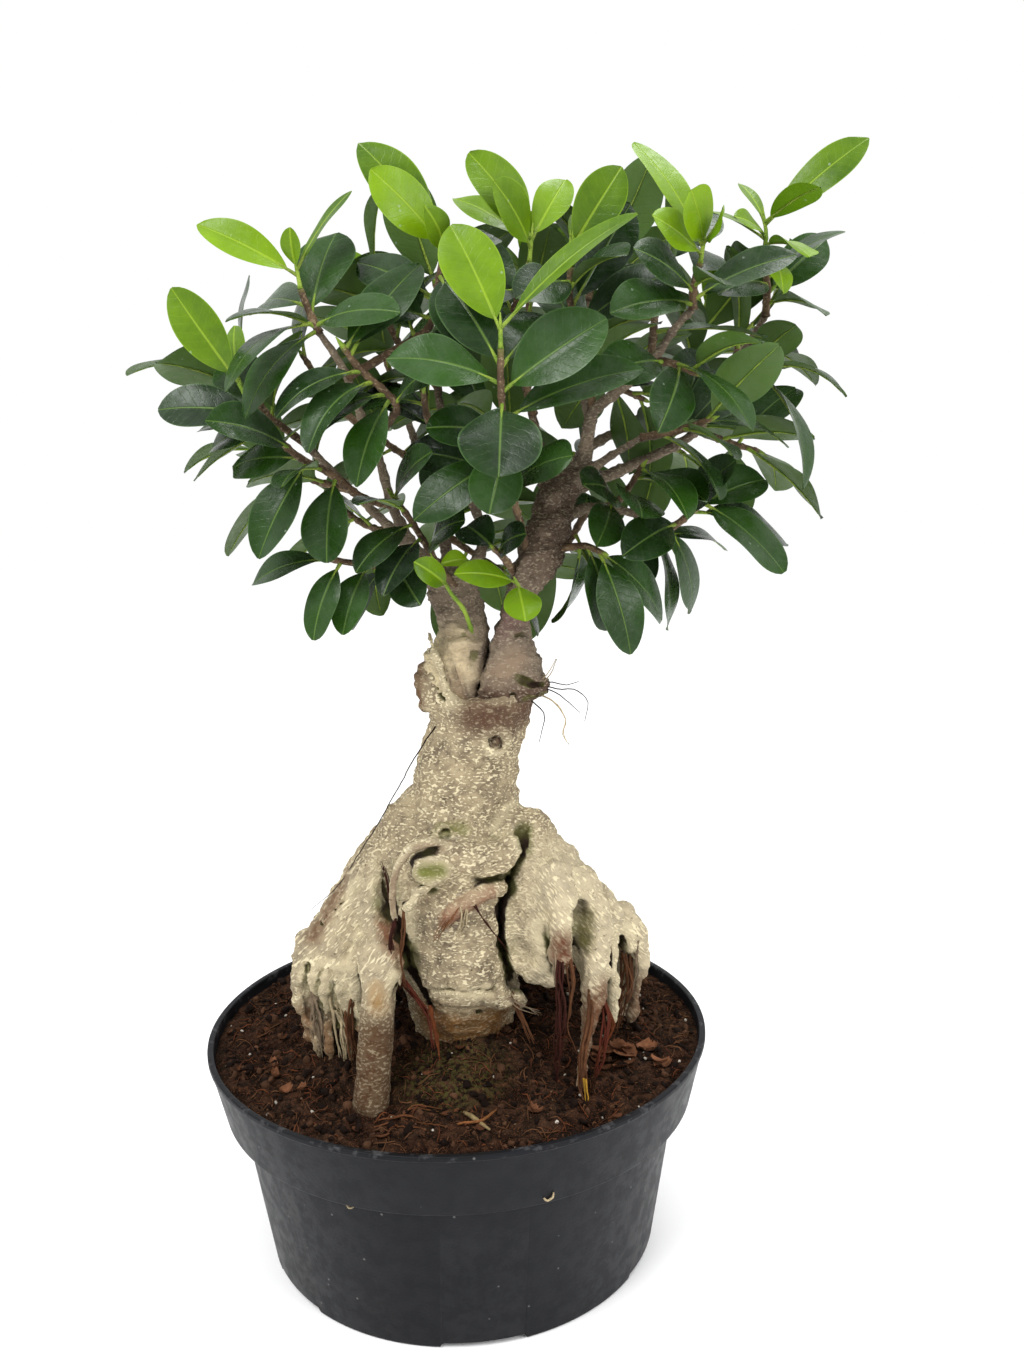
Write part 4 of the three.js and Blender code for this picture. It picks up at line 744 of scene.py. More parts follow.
# %% The rootstock's big forms
SWOLLEN = [  # blend, then [x, y, z, radius]
    (12, [[18, -4, 272, 22], [14, -4, 250, 22], [10, -4, 233, 21], [6, -4, 214, 24], [1, -6, 198, 26.5],
          [-2, -10, 176, 33], [0, -14, 152, 33], [2, -18, 126, 25], [3, -20, 92, 18]]),
    (10, [[0, -30, 188, 19], [2, -35, 162, 22], [4, -36, 142, 19], [4, -32, 128, 15]]),
    (12, [[-14, -12, 188, 22], [-32, -16, 170, 21], [-47, -20, 154, 18], [-57, -22, 142, 12]]),
    (8, [[-22, -28, 182, 13], [-28, -38, 168, 11], [-32, -50, 150, 9]]),
    (9, [[24, -14, 190, 17], [41, -20, 176, 18], [56, -24, 161, 16], [70, -24, 150, 10]]),
    (7, [[32, -22, 196, 13], [34, -30, 178, 14], [35, -35, 160, 12.5], [34, -35, 148, 9]]),
    (8, [[40, -30, 174, 14], [54, -34, 160, 13], [60, -38, 146, 9]]),
    (9, [[52, -6, 160, 16], [67, -1, 144, 12.5], [75, 0, 130, 10]]),
    (12, [[-8, 10, 190, 21], [-20, 25, 168, 20], [-34, 36, 138, 14], [-40, 44, 116, 10]]),
    (12, [[12, 10, 188, 20], [26, 26, 163, 19], [38, 35, 137, 14], [45, 42, 116, 10]]),
    (12, [[0, 16, 180, 24], [0, 32, 150, 18], [-2, 42, 118, 12]]),
]
ROOT_LEGS = [
    [[3, -19, 126, 20], [3, -20, 104, 16], [3, -20, 52, 12]],
    [[-31, -49, 153, 9], [-33, -57, 138, 7.4], [-34.8, -63, 122, 7.2], [-36.8, -71, 102, 7.6], [-37, -72, 50, 6]],
    [[60, -41, 142, 7], [57, -50, 128, 5], [53, -58, 112, 3.6], [51, -62, 100, 2.8], [50, -64, 62, 2.4]],
    [[76, 0, 131, 9.4], [78, 2, 112, 6.4], [78, 2, 66, 4]],
    [[-40, 44, 118, 10], [-43, 48, 102, 7.6], [-43, 48, 58, 6]],
    [[45, 42, 118, 10], [49, 47, 102, 7.6], [49, 47, 58, 6]],
    [[-2, 42, 118, 12], [-2, 43, 102, 9.4], [-2, 43, 56, 7]],
]
CLAWS = [
    [[-64, -24, 152, 7], [-69, -27, 140, 4.6], [-68, -30, 126, 3], [-66, -31, 112, 2]],
    [[-62, -28, 144, 6], [-64, -31, 130, 3.6], [-62, -33, 116, 2.6], [-61, -34, 104, 1.6]],
    [[-57, -31, 144, 6], [-58, -35, 128, 3.8], [-56, -37, 114, 2.8], [-56, -38, 101, 1.8]],
    [[-50, -33, 144, 6.5], [-50, -37, 126, 4], [-48, -40, 112, 2.8], [-47, -41, 100, 1.8]],
    [[-44, -36, 146, 6], [-44, -39, 132, 3.6], [-43, -41, 120, 2]],
    [[-60, -14, 138, 9], [-67, -10, 119, 5.4], [-65, -8, 100, 3]],
    [[74, -22, 158, 7], [80, -24, 150, 5.4], [82, -24, 136, 4], [80, -22, 120, 3], [79, -21, 108, 2.2]],
    [[64, -30, 154, 6], [67, -33, 142, 4], [69, -35, 128, 2.8], [68, -36, 116, 1.8]],
    [[76, -14, 148, 6], [80, -12, 132, 4], [79, -12, 114, 2.6]],
    [[43, -40, 184, 8], [46, -47, 174, 7.4], [45, -51, 164, 6], [44.5, -53, 154, 4], [44, -53.5, 147, 2]],
    [[55, -38, 180, 8], [59, -43, 164, 8], [59, -46, 150, 7], [57, -50, 137, 5]],
]
print("chains:", len(SWOLLEN) + len(ROOT_LEGS) + len(CLAWS))

# %% The rootstock's folds
FOLDS = [
    (3.5, [[-18, -36, 150, 7], [-8, -44, 141, 7], [8, -46.5, 136, 7], [20, -45.5, 132, 5.6], [25, -44, 130.5, 4.2]]),
    (3, [[-13, -43, 194, 7.6], [-4, -46, 196, 8], [7, -46, 196, 8], [17, -42, 195, 7.6], [25, -35, 196, 6.4]]),
    (2, [[-12, -46, 168, 3.4], [-2, -52.5, 166, 3], [10, -51.5, 167, 3]]),
    (2, [[-13, -46, 157, 3.4], [0, -53, 154, 3.2], [12, -51, 155, 3]]),
    (2, [[-12, -44, 147, 3], [2, -52, 145, 3], [15, -48, 145, 3]]),
    (2, [[-44, -30, 162, 4.4], [-51, -33, 150, 4.4], [-54, -35, 138, 4]]),
    (2, [[-54, -24, 160, 4.4], [-61, -28, 150, 4.4], [-65, -30, 138, 3.6]]),
    (2, [[-38, -38, 158, 4.4], [-42, -39, 148, 4], [-43, -40, 138, 3.4]]),
    (2, [[-40, -30, 176, 3.4], [-50, -30, 168, 3.2], [-58, -30, 160, 2.6], [-62, -28, 152, 2]]),
    (2.5, [[42, -26, 190, 5], [55, -30, 178, 5], [67, -31, 164, 4.6], [74, -28, 152, 4]]),
    (2.5, [[24, -40, 147, 5], [33, -43, 143, 5], [41, -44, 140, 4.6]]),
    (2, [[36, -44, 168, 3.4], [37, -46, 156, 3.4], [38, -45, 146, 3]]),
]
THIN_FOLDS = [
    (0.8, [[0, -46, 202, 2], [-6, -50.5, 205, 1.9], [-12, -53.5, 206, 1.8], [-18, -55.5, 204, 1.8],
           [-22.5, -56, 198, 1.7], [-25, -56, 190, 1.7], [-25.5, -56, 182, 1.6], [-25, -54.5, 174, 1.3]]),
    (1, [[-8, -50, 188, 2], [-14, -55, 186, 1.8], [-18, -57, 182, 1.6], [-21.5, -56, 177, 1.2]]),
    (1.6, [[19, -45, 182, 4], [12, -50, 182.5, 3.2], [5, -53.5, 180, 2.6], [0, -55, 177, 2.2], [-4, -56, 172, 1.4]]),
]
LIPS = [  # bark that rose round the scions after the graft
    (3, [[6, -22, 253, 3], [2, -22, 260, 2.6], [-2, -20.5, 268, 2.2], [-5, -17, 279, 1.9], [-7, -13, 287, 1.2]]),
    (3, [[-3, -12, 257, 7], [-5, -10, 268, 4.4], [-6.5, -9, 278, 2.4]]),
    (2, [[-9, -9, 255, 3.6], [-11, -8, 264, 3], [-10, -8, 272, 2]]),
]


def ring(x, y, z, radius, thickness, squash=1.0):
    """A closed ring of bars that faces the front."""
    turns = np.linspace(0, 2 * math.pi, 13)
    return [[x + radius * math.cos(t), y, z + radius * squash * math.sin(t), thickness] for t in turns]


print("folds:", len(FOLDS) + len(THIN_FOLDS) + len(LIPS))

# %% The rootstock's creases, hollows and scar
SLITS = [  # blend, depth, then the crease's line on the surface
    (3, 0, [[32, -30, 206, 0.8], [29.5, -35, 198, 1.4], [26, -41, 189, 1.6]]),
    (2, 14, [[27, -40, 191, 1], [25, -42, 187, 1.4], [19.5, -49, 173, 1.8], [19, -51, 160, 1.9], [21, -49, 148, 1.8],
             [25, -47, 138, 1.8]]),
    (3, 4, [[-30, -36, 199, 1.6], [-32, -39, 192, 3.8], [-31, -43, 184, 4.4], [-28, -48, 173, 2.6]]),
    (2, 8, [[-31, -41, 188, 1], [-30, -44, 181, 1.4], [-27, -48, 172, 1.6]]),
    (2, 8, [[-24, -48, 170, 1.6], [-22, -50, 158, 2], [-20, -49, 147, 2.4], [-15, -47, 137, 2.6],
            [-11, -45, 128, 2.6]]),
    (1.5, 4, [[-15, -55, 189, 1], [-6, -57, 187.5, 1.1], [6, -56, 186.5, 1.2], [16, -50, 186, 1.2],
              [23, -43, 189, 1.4]]),
    (1.5, 5, [[-9, -52, 205.5, 0.8], [0, -52, 205, 1.4], [12, -48.5, 204, 1.4], [24, -41, 203, 1.4]]),
    (3, 0, [[-13, -57, 162, 1.2], [0, -59, 160, 1.2], [12, -57.5, 161, 1.2]]),
    (3, 0, [[-14, -55.5, 151, 1.4], [0, -59, 149.5, 1.4], [12, -56.5, 150, 1.4], [18, -52, 152, 1.4]]),
    (1.5, 3, [[-10, -54, 140.5, 1], [4, -56, 141, 1.2], [17, -53, 139.5, 1.2]]),
    (1.5, 5, [[-10, -50, 131.5, 1], [4, -53, 129.5, 1.4], [18, -51, 125.5, 1.4]]),
    (4, 0, [[54, -49, 173, 1.4], [53.5, -52, 165, 2.6], [52, -53, 155, 2.8]]),
    (2, 8, [[52, -53, 152, 1.6], [51.5, -52, 144, 2.4]]),
    (2, 8, [[66, -40, 156, 1], [64.5, -44, 146, 1.8], [63.5, -42, 136, 2]]),
    (2, 5, [[38.5, -50, 165, 0.8], [39, -51, 161, 1.8], [40, -51, 157, 1.2]]),
    (2, 10, [[72, -33, 152, 2], [73.5, -32, 142, 3.8], [74.5, -31, 130, 4.6], [74.5, -29, 118, 4.6]]),
    (1.6, 5, [[-58, -36, 146, 1], [-61, -36, 136, 1.6], [-60.5, -37, 122, 2]]),
    (1.6, 5, [[-53.5, -38, 146, 1], [-54, -39, 134, 1.8], [-52.5, -41, 120, 2.2]]),
    (1.6, 5, [[-46.5, -41, 146, 1], [-47, -42, 134, 1.6], [-45.5, -43, 122, 1.8]]),
    (1.6, 5, [[-64.5, -32, 146, 1], [-66.5, -33, 136, 1.4], [-65, -34, 122, 1.8]]),
    (1.6, 6, [[-37.5, -48, 152, 1], [-40.5, -54, 141, 1.8], [-41, -56, 130, 2.4]]),
    (1.6, 6, [[-26.5, -54, 150, 0.9], [-25.5, -60, 140, 1.6], [-24, -60, 128, 2]]),
    (1.5, 3, [[-40, -33, 180, 1], [-50, -33, 172, 1.4], [-60, -31, 163, 1.2]]),
]
HOLLOW = [[-19, -51, 198, 3], [-20, -52, 188, 3.2], [-20, -52, 180, 2.4]]  # behind the arched thin root
SCAR_MIDDLE, SCAR_HALF, SCAR_SQUASH = (-9.0, -55.6, 194.4), 7.2, 0.66
KNOTS = [(20, 241, 4.2, 1.3), (-3, 204.5, 3.2, 0.6), (4.5, 206, 1.8, 0.4)]  # x, z, radius, groove
print("creases:", len(SLITS), "knots:", len(KNOTS))

# %% Cutting creases, knots and the scar
SLIT_STEP, SLIT_LEAN, SLIT_NARROWING = 3.5, 0.04, 0.3


def carve_slit(wood, blend, depth, line):
    """Carves a crease along a line, and deeper and narrower behind it."""
    steps = max(1, round(depth / SLIT_STEP))
    for i in range(steps + 1):
        share = i / steps
        wood.carve([[x * (1 - SLIT_LEAN * share), y + depth * share, z, radius * (1 - SLIT_NARROWING * share)]
                    for x, y, z, radius in line], blend)


def add_knot(wood, x, z, radius, groove):
    """A raised rim, a groove inside it and a bud in the middle, on the front of the wood."""
    ys = np.arange(wood.low[1], 0, 0.5)
    spots = np.column_stack([np.full(len(ys), x), ys, np.full(len(ys), z)])
    y = ys[np.argmax(wood.sample(spots) < 0)]
    wood.grow(ring(x, y - 0.1, z, radius * 1.1, groove + 0.4), 2)
    wood.carve(ring(x, y - 0.6, z, radius * 0.6, groove), 0.6)
    wood.grow([[x, y + 0.4, z, 1.4], [x, y + 0.5, z, 1.4]], 0.5)


def add_scar(wood, middle, half):
    """A shallow oval dish with a lip, where a root was cut off."""
    x, y, z = middle
    wood.grow([[x - 2.6, y + 6, z, 6.6], [x + 2.6, y + 6, z, 6.6]], 2)
    wood.carve([[x - 2, y - 29.5, z, 30], [x + 2, y - 29.5, z, 30]], 0.5)
    wood.grow(ring(x, y + 0.9, z, half, 1.3, SCAR_SQUASH), 1)


print("deepest crease:", max(depth for _, depth, _ in SLITS), "mm")

# %% The rootstock's field
GRAFT_HEIGHT, GRAFT_MIDDLE, GRAFT_SLOPE = 259, 17, math.tan(math.radians(-6))
CELL = 1.25
LEG_BLEND, CLAW_BLEND, HOLLOW_BLEND = 5, 3, 2


def above_graft(x, y, z):
    """Above zero over the sloping cut on which the scions were grafted."""
    return (z - GRAFT_HEIGHT + (x - GRAFT_MIDDLE) * GRAFT_SLOPE) * 0.99


rootstock_wood = Wood((-84, -90, 46), (98, 68, 292), CELL)
legs = [(LEG_BLEND, leg) for leg in ROOT_LEGS]
claws = [(CLAW_BLEND, claw) for claw in CLAWS]
for blend, chain in [*SWOLLEN, *legs, *claws, *FOLDS]:
    rootstock_wood.grow(chain, blend)
rootstock_wood.carve(HOLLOW, HOLLOW_BLEND)
for blend, depth, line in SLITS:
    carve_slit(rootstock_wood, blend, depth, line)
for knot in KNOTS:
    add_knot(rootstock_wood, *knot)
add_scar(rootstock_wood, SCAR_MIDDLE, SCAR_HALF)
for blend, chain in THIN_FOLDS:
    rootstock_wood.grow(chain, blend)
rootstock_wood.keep(above_graft)
for blend, chain in LIPS:
    rootstock_wood.grow(chain, blend)
print("grid:", rootstock_wood.values.shape)

# %% [markdown]
# ## Bark of the rootstock
# Ficus bark is thin and pale, grey where the light reached it and ochre where soil covered it. Cream pores
# lie across the growth: level on the neck, and round the lobes where those run outward. A texture has
# one direction only, so a level and two turned copies of the pore pattern are mixed by two masks that the
# mesh keeps for its left and right lobes. The same masks paint the lobes paler, the right one most, which is
# painted light. A third mask marks how deep a point lies in a fold, where the bark gets painted shade, and a
# fourth marks the ridges, which get a painted highlight.

# %% The rootstock's bark
def turned_pores(tree, place, turn, length):
    """Pores whose dashes lie at an angle in degrees."""
    turned_place = add_node(tree, "Mapping", Vector=place, Rotation=(0, math.radians(turn), 0)).outputs[0]
    return use_group(tree, pores, Place=turned_place, Length=length, Height=0.0008, Cover=0.42)["Mask"]


bark, tree, place, tones = start_material("rootstock bark", 0.016, Specular_IOR_Level=0.12)
small_tones = use_group(tree, patches, Place=place, Size=0.004)
base = mix_colours(tree, tones["Broad"], paint(106, 93, 76), paint(160, 143, 115))
base = mix_colours(tree, small_tones["Broad"], base, paint(196, 180, 146), 0.5)
left_lobe, right_lobe = attribute(tree, "left_lobe"), attribute(tree, "right_lobe")
# painted light: the lobes, the right one most, are painted paler cream, as if a lamp lit them more
lobe_painted_light = sum_up(tree, "MULTIPLY_ADD", right_lobe, 0.45, sum_up(tree, "MULTIPLY", left_lobe, 0.2))
base = mix_colours(tree, lobe_painted_light, base, paint(224, 210, 178))
# painted highlight: the ridges, broken up by fine patches of tone, are painted pale cream as if they caught the light
lit = sum_up(tree, "MULTIPLY_ADD", small_tones["Fine"], 0.5, attribute(tree, "ridge"))
base = mix_colours(tree, remap(tree, lit, 0.45, 1.1, 0, 0.4), base, paint(228, 214, 176))
stained = sum_up(tree, "MULTIPLY", attribute(tree, "stained"), remap(tree, small_tones["Broad"], 0, 1, 0.8, 1))
base = mix_colours(tree, stained, base, attribute(tree, "stain", "Vector"))
marks = turned_pores(tree, place, 0, 0.0016)
for lobe, turn in ((left_lobe, 46), (right_lobe, -46)):
    change = sum_up(tree, "SUBTRACT", turned_pores(tree, place, turn, 0.0034), marks)
    marks = sum_up(tree, "ADD", marks, sum_up(tree, "MULTIPLY", change, lobe))
marks = sum_up(tree, "MULTIPLY", marks, sum_up(tree, "MULTIPLY_ADD", stained, -0.85, 0.95))
base = mix_colours(tree, marks, base, paint(246, 232, 194), 0.75)
pits = remap(tree, cloud(tree, place, 620.0, 3.0), 0.36, 0.26, 0, 0.75)
base = mix_colours(tree, pits, base, paint(74, 58, 42))
# painted shade in the root's folds, with moss
base = use_group(tree, fold_shade_and_moss, Colour=base, Fold=attribute(tree, "fold"), Moss=0.35, Place=place)["Colour"]
relief = sum_up(tree, "MULTIPLY_ADD", marks, 0.28, cloud(tree, place, 320.0, 9.0, Roughness=0.7))
end_material(bark, base, remap(tree, tones["Fine"], 0, 1, 0.7, 0.9), relief, 0.0022, 1.0)

# %% [markdown]
# ## Stains and the finished root
# Damp soil, old cuts and the grafting left brown, ochre and green stains at places that no texture could
# find. They could be painted by hand on an image. Here each stain is a short chain of points with a reach
# and a colour, and every point of the mesh keeps the colour of the stains that cover it.

# %% Stains of the bark
STAINS = [  # reach, colour, [x, y, z]
    (20, paint(116, 80, 40), [[-13, -42, 120], [5, -44, 117], [20, -40, 116]]),
    (7, paint(112, 70, 46), [[-29, -48, 173], [-26, -52, 158], [-22, -51, 146], [-16, -46, 134], [-11, -45, 121]]),
    (30, paint(78, 55, 36), [[-34, -70, 122], [-36, -74, 110], [-38, -76, 88]]),
    (6, paint(166, 132, 84), [[-33, -58, 146], [-33, -62, 140]]),
    (9, paint(104, 78, 58), [[-14, -9, 274], [-15, -9, 264], [-13, -9, 254]]),
    (8, paint(116, 90, 68), [[-46, -22, 178], [-54, -28, 170], [-62, -30, 160]]),
    (5.4, paint(112, 116, 56), [[-12, -55, 194.4], [-6, -55, 194.4]]),
    (4, paint(134, 114, 92), [[-2, -46, 203], [-14, -57, 204], [-24, -58, 192], [-26, -58, 176]]),
    (5, paint(142, 104, 82), [[14, -50, 182], [4, -54, 179], [-4, -56, 173]]),
    (6, paint(126, 122, 76), [[-4, -36, 205], [4, -36, 206]]),
    (9, paint(84, 88, 46), [[-31, -42, 192], [-31, -44, 186], [-30, -46, 178]]),
    (6, paint(96, 96, 54), [[31, -33, 204], [30, -37, 196]]),
    (8, paint(96, 90, 54), [[54, -50, 169], [53, -51, 158]]),
    (10, paint(98, 62, 44), [[44, -58, 160], [44, -60, 146]]),
    (12, paint(104, 70, 48), [[60, -50, 134], [54, -60, 118], [51, -66, 104]]),
    (10, paint(108, 78, 58), [[80, -22, 128], [80, -20, 110]]),
    (10, paint(116, 86, 60), [[-66, -30, 122], [-64, -30, 106]]),
    (10, paint(124, 94, 66), [[-56, -38, 118], [-54, -40, 104]]),
    (9, paint(110, 78, 56), [[-47, -40, 118], [-46, -42, 104]]),
    (13, paint(86, 62, 48), [[12, -26, 253], [20, -27, 252], [30, -24, 252], [40, -12, 253], [40, 4, 255]]),
    (5, paint(84, 62, 48), [[21, -25, 241], [21.1, -25, 241]]),
]
print("stains:", len(STAINS))

# %% The rootstock
FOLD_REACH, RIDGE_REACH, RIDGE_RANGE = 4, 3.5, 1.6
ROOT_WRINKLES = [(2.2, 21, 1.6), (1.4, 7, 2.0), (0.9, 3.2, 1.8)]
points, quads, facing = rootstock_wood.skin()
fold = rootstock_wood.folded(points, facing, FOLD_REACH)
ridge = ease(rootstock_wood.sample(points - facing * RIDGE_REACH), -RIDGE_REACH, RIDGE_RANGE)
colour, cover = stain_points(points, STAINS)
left = ease(points[:, 0], -14, -18) * ease(points[:, 2], 196, -16) * ease(points[:, 2], 132, 12)
right = ease(points[:, 0], 24, 14) * ease(points[:, 2], 204, -16)
smooth_roots = np.maximum(chain_weight(points, ROOT_LEGS[1][1:], 18), chain_weight(points, THIN_FOLDS[0][1], 5))
points = wrinkle(points, facing, ROOT_WRINKLES, 1 - 0.75 * smooth_roots)
root_heap = Heap()
root_heap.add(points, quads, fold=fold, ridge=ridge, stain=colour, stained=cover, left_lobe=left, right_lobe=right)
rootstock = root_heap.make("ginseng_root", "rootstock_bark", [bark])
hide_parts("rootstock")
print("rootstock faces:", len(rootstock.data.polygons))

# %% [markdown]
# ## Bark of the scions
# The scions' bark is browner and finer than the root's, with small level pores and a dark seam over the
# graft. It uses the same effects as the root's bark with smaller sizes and other colours, so the two
# belong together without being alike.

# %% Bark of the scions
brown_bark, tree, place, tones = start_material("scion bark", 0.012, Specular_IOR_Level=0.12)
base = mix_colours(tree, tones["Broad"], paint(104, 92, 80), paint(142, 127, 108))
base = mix_colours(tree, tones["Fine"], base, paint(88, 72, 60), 0.5)
stained = sum_up(tree, "MULTIPLY", attribute(tree, "stained"), remap(tree, tones["Fine"], 0, 1, 0.7, 1))
base = mix_colours(tree, stained, base, attribute(tree, "stain", "Vector"))
marks = use_group(tree, pores, Place=place, Length=0.0016, Height=0.0008, Cover=0.36)["Mask"]
base = mix_colours(tree, marks, base, paint(184, 170, 146), 0.42)
# painted shade in the scions' folds, with moss
base = use_group(tree, fold_shade_and_moss, Colour=base, Fold=attribute(tree, "fold"), Moss=0.5, Place=place)["Colour"]
relief = sum_up(tree, "MULTIPLY_ADD", marks, 0.3, cloud(tree, place, 420.0, 7.0, Roughness=0.7))
end_material(brown_bark, base, remap(tree, tones["Fine"], 0, 1, 0.75, 0.92), relief, 0.0013, 0.9)

# %% [markdown]
# ## Scions
# Two shoots of a small-leaved ficus were pushed into clefts in the cut top of the root. Their feet have
# swollen over it, and a dark rough seam shows where the two barks met. The feet are blended wood like the
# rootstock, on a finer grid. The woody branches are round tubes with a little knob at every old leaf
# scar, and they start inside the swollen wood, so no joint shows.

# %% The scions' forms
LEFT_FOOT = [
    (6, [[2, -5, 252, 14.5], [6, -5, 272, 13.4], [8, -5, 288, 11], [4, -5, 306, 9.8]]),
    (5, [[4, -5, 304, 8], [-2, -8, 313, 5]]),
    (4, [[-2, -6, 304, 5], [-4, -8, 313, 3.6], [-12, -10, 323, 2.7]]),
    (4, [[6, -3, 304, 3.6], [12, 1, 314, 2.8]]),
    (4, [[-2, -6, 310, 3.4], [-11, 4, 319, 2.8]]),
    (4, [[4, 0, 302, 3.6], [2, 11, 315, 2.9]]),
    (2, [[-5, -8, 276, 5], [-4, -11, 264, 5], [-2, -13, 256, 5]]),
    (2, [[3, -17, 281, 2.4], [8, -17, 283, 3], [13, -15, 281, 3]]),
    (2, [[2, -18, 272, 3], [4, -19, 264, 3.4], [6, -20, 257, 3]]),
    (1.5, [[4, -14, 291, 1.6], [7, -15.5, 288, 2.2], [9, -14, 286, 1.6]]),
]
LEFT_DENTS = [
    (2, [[-2, -17.5, 281, 1.6], [1, -20, 272, 2], [5, -22, 263, 2], [9, -22.5, 256, 2]]),
    (2, [[12, -16.5, 277, 1.6], [10, -20, 268, 1.6], [9, -21.5, 259, 1.6]]),
    (1.5, [[2, -16.4, 286, 0.8], [6, -18.6, 286.5, 1], [10, -17.4, 287, 1]]),
]
RIGHT_FOOT = [
    (6, [[28, -6, 252, 15.5], [28, -8, 270, 13.6], [28, -10, 284, 9.6], [28, -9, 298, 8.6], [33, -7, 308, 9.6],
         [41, -5, 318, 9.6]]),
    (5, [[41, -5, 318, 10], [47, 0, 332, 9.6], [50, 4, 342, 8.4], [55, 5, 350, 6]]),
    (4, [[50, 4, 342, 6], [57, 6, 352, 4.6]]),
    (4, [[53, 5, 346, 3.4], [60, 0, 351.5, 2.6]]),
    (4, [[54, 6, 346, 4], [66, 10, 350, 3.2]]),
    (4, [[53, 6, 344, 4], [58, 16, 351, 3.3]]),
    (4, [[48, 4, 340, 4], [46, 9, 353, 3.2]]),
    (4, [[46, 0, 330, 4], [54, 4, 333, 3.3]]),
    (2.5, [[16, -17, 263, 3.6], [26, -20, 260, 4], [36, -17, 261, 4], [41, -9, 262, 4]]),
    (2.5, [[16, -16, 257, 3.4], [26, -20, 255.5, 3.6], [36, -18, 255, 4.2], [41, -10, 255, 4.4]]),
    (2.5, [[35, -17, 267, 4], [38, -14, 263, 4.4], [39, -11, 258, 4.4]]),
    (2, [[16, -15, 280, 2.6], [16, -17, 272, 3], [17, -18, 265, 3]]),
    (2, [[34, -14, 316, 4.4], [33, -14, 311, 4], [35, -13, 304, 3]]),
    (2, [[44, -9, 329, 4.2], [49, -6, 334, 4.6]]),
    (2, [[48, -5, 343, 4.6], [52, -4, 347, 4.2]]),
    (2, [[36, 2, 322, 5], [40, 5, 330, 4.6]]),
    (1.5, [[20.5, -15, 297, 1.4], [20, -15.5, 294, 1.4]]),
]
RIGHT_DENTS = [
    (1.5, [[14, -21.5, 258.5, 1], [26, -24.5, 257.5, 1.6], [38, -21, 258, 1.6], [46, -11, 259.5, 1.4]]),
    (1.5, [[30, -21, 268, 0.9], [36, -20, 264.5, 1.4], [41, -16, 263.5, 1.2]]),
    (1.5, [[20, -18, 287, 0.8], [28, -19.4, 286, 0.9], [36, -16, 286, 0.9]]),
    (1.5, [[20, -17, 300, 0.8], [28, -17.8, 301, 0.9], [36, -14, 300, 0.9]]),
    (2, [[36, -19, 323, 1.6], [44, -15, 323, 1.4]]),
    (1.2, [[28, -23, 260, 1.4], [27, -22, 258, 1.4]]),
]
SCION_STAINS_AND_SHADE = [
    (11, paint(206, 190, 152), [[-9, -10, 284], [-6, -14, 272], [-4, -16, 258]]),
    (12, paint(196, 178, 144), [[4, -18, 284], [2, -20, 276], [6, -19, 270]]),
    (6, paint(96, 64, 46), [[4, -22, 268], [7, -23, 258]]),
    (13, paint(70, 50, 40), [[16, -23, 257], [28, -26, 256], [40, -22, 257], [48, -10, 257], [44, 6, 257],
                             [28, 12, 257]]),
    (8, paint(138, 118, 98), [[22, -22, 270], [30, -22, 276]]),
    (9, paint(112, 88, 82), [[24, -20, 290], [32, -18, 296]]),
    # painted shade: the right scion is darker brown high up inside the crown, where the leaves shade it
    (26, paint(84, 68, 57), [[44, -6, 322], [50, 2, 342]]),
    (14, paint(98, 86, 72), [[4, -6, 300], [6, -6, 308]]),
]
print("bars:", len(LEFT_FOOT) + len(RIGHT_FOOT))

# %% The branches' forms
LEFT_BRANCHES = [
    [[2, -6, 304, 5], [-4, -8, 313, 3.6], [-12, -10, 323, 2.7], [-17, -12, 333, 2.3], [-21, -12, 342, 2.1],
     [-25, -15, 360, 1.9], [-30, -20, 373, 1.8], [-37, -30, 396, 1.5], [-46, -34, 411, 1.3]],
    [[6, -3, 304, 3.6], [18, 5, 325, 2.2], [12, 8, 345, 1.9], [5, 10, 367, 1.8], [0, 14, 392, 1.6],
     [4, 18, 418, 1.4]],
    [[-2, -6, 310, 3.4], [-20, 14, 328, 2.3], [-40, 20, 348, 1.8], [-58, 12, 368, 1.5]],
    [[4, 0, 302, 3.6], [0, 22, 328, 2.4], [-8, 38, 358, 2], [-18, 56, 390, 1.5]],
]
RIGHT_BRANCHES = [
    [[50, 4, 342, 6], [57, 6, 352, 4.6], [63, 5, 359, 3.2], [64, 0, 368, 2.8], [66, -5, 379, 2.5],
     [75, -15, 387, 2.1], [87, -28, 398, 1.8], [96, -35, 411, 1.5], [102, -38, 417, 1.3]],
    [[53, 5, 346, 3.4], [72, -8, 360, 1.6], [85, -15, 368, 1.3]],
    [[54, 6, 346, 4], [85, 16, 356, 2.4], [115, 15, 371, 2], [131, 10, 398, 1.8], [139, 8, 412, 1.5],
     [143, 6, 419, 1.3]],
    [[53, 6, 344, 4], [66, 32, 362, 2.5], [74, 52, 384, 1.9], [75, 60, 402, 1.5]],
    [[67, 34, 364, 2.3], [92, 46, 377, 1.8], [113, 52, 390, 1.4]],
    [[48, 4, 340, 4], [44, 14, 366, 2.2], [38, 18, 396, 1.6]],
    [[46, 0, 330, 4], [65, 10, 338, 2.3], [89, 10, 334, 1.7], [97, 0, 326, 1.4]],
    [[65, -3, 374, 2.4], [62, 3, 400, 1.7], [66, 8, 426, 1.4]],
]
CLEFT_MIDDLE, CLEFT_HEIGHT, CLEFT_LEAN, CLEFT_GAP = 13, 262, math.atan2(8, 23), 0.12
KNOB_START = 0.55


def past_cleft(x, z):
    """Distance to the right of the slanting cleft that parts the two scions."""
    return (x - CLEFT_MIDDLE) * math.cos(CLEFT_LEAN) - (z - CLEFT_HEIGHT) * math.sin(CLEFT_LEAN)


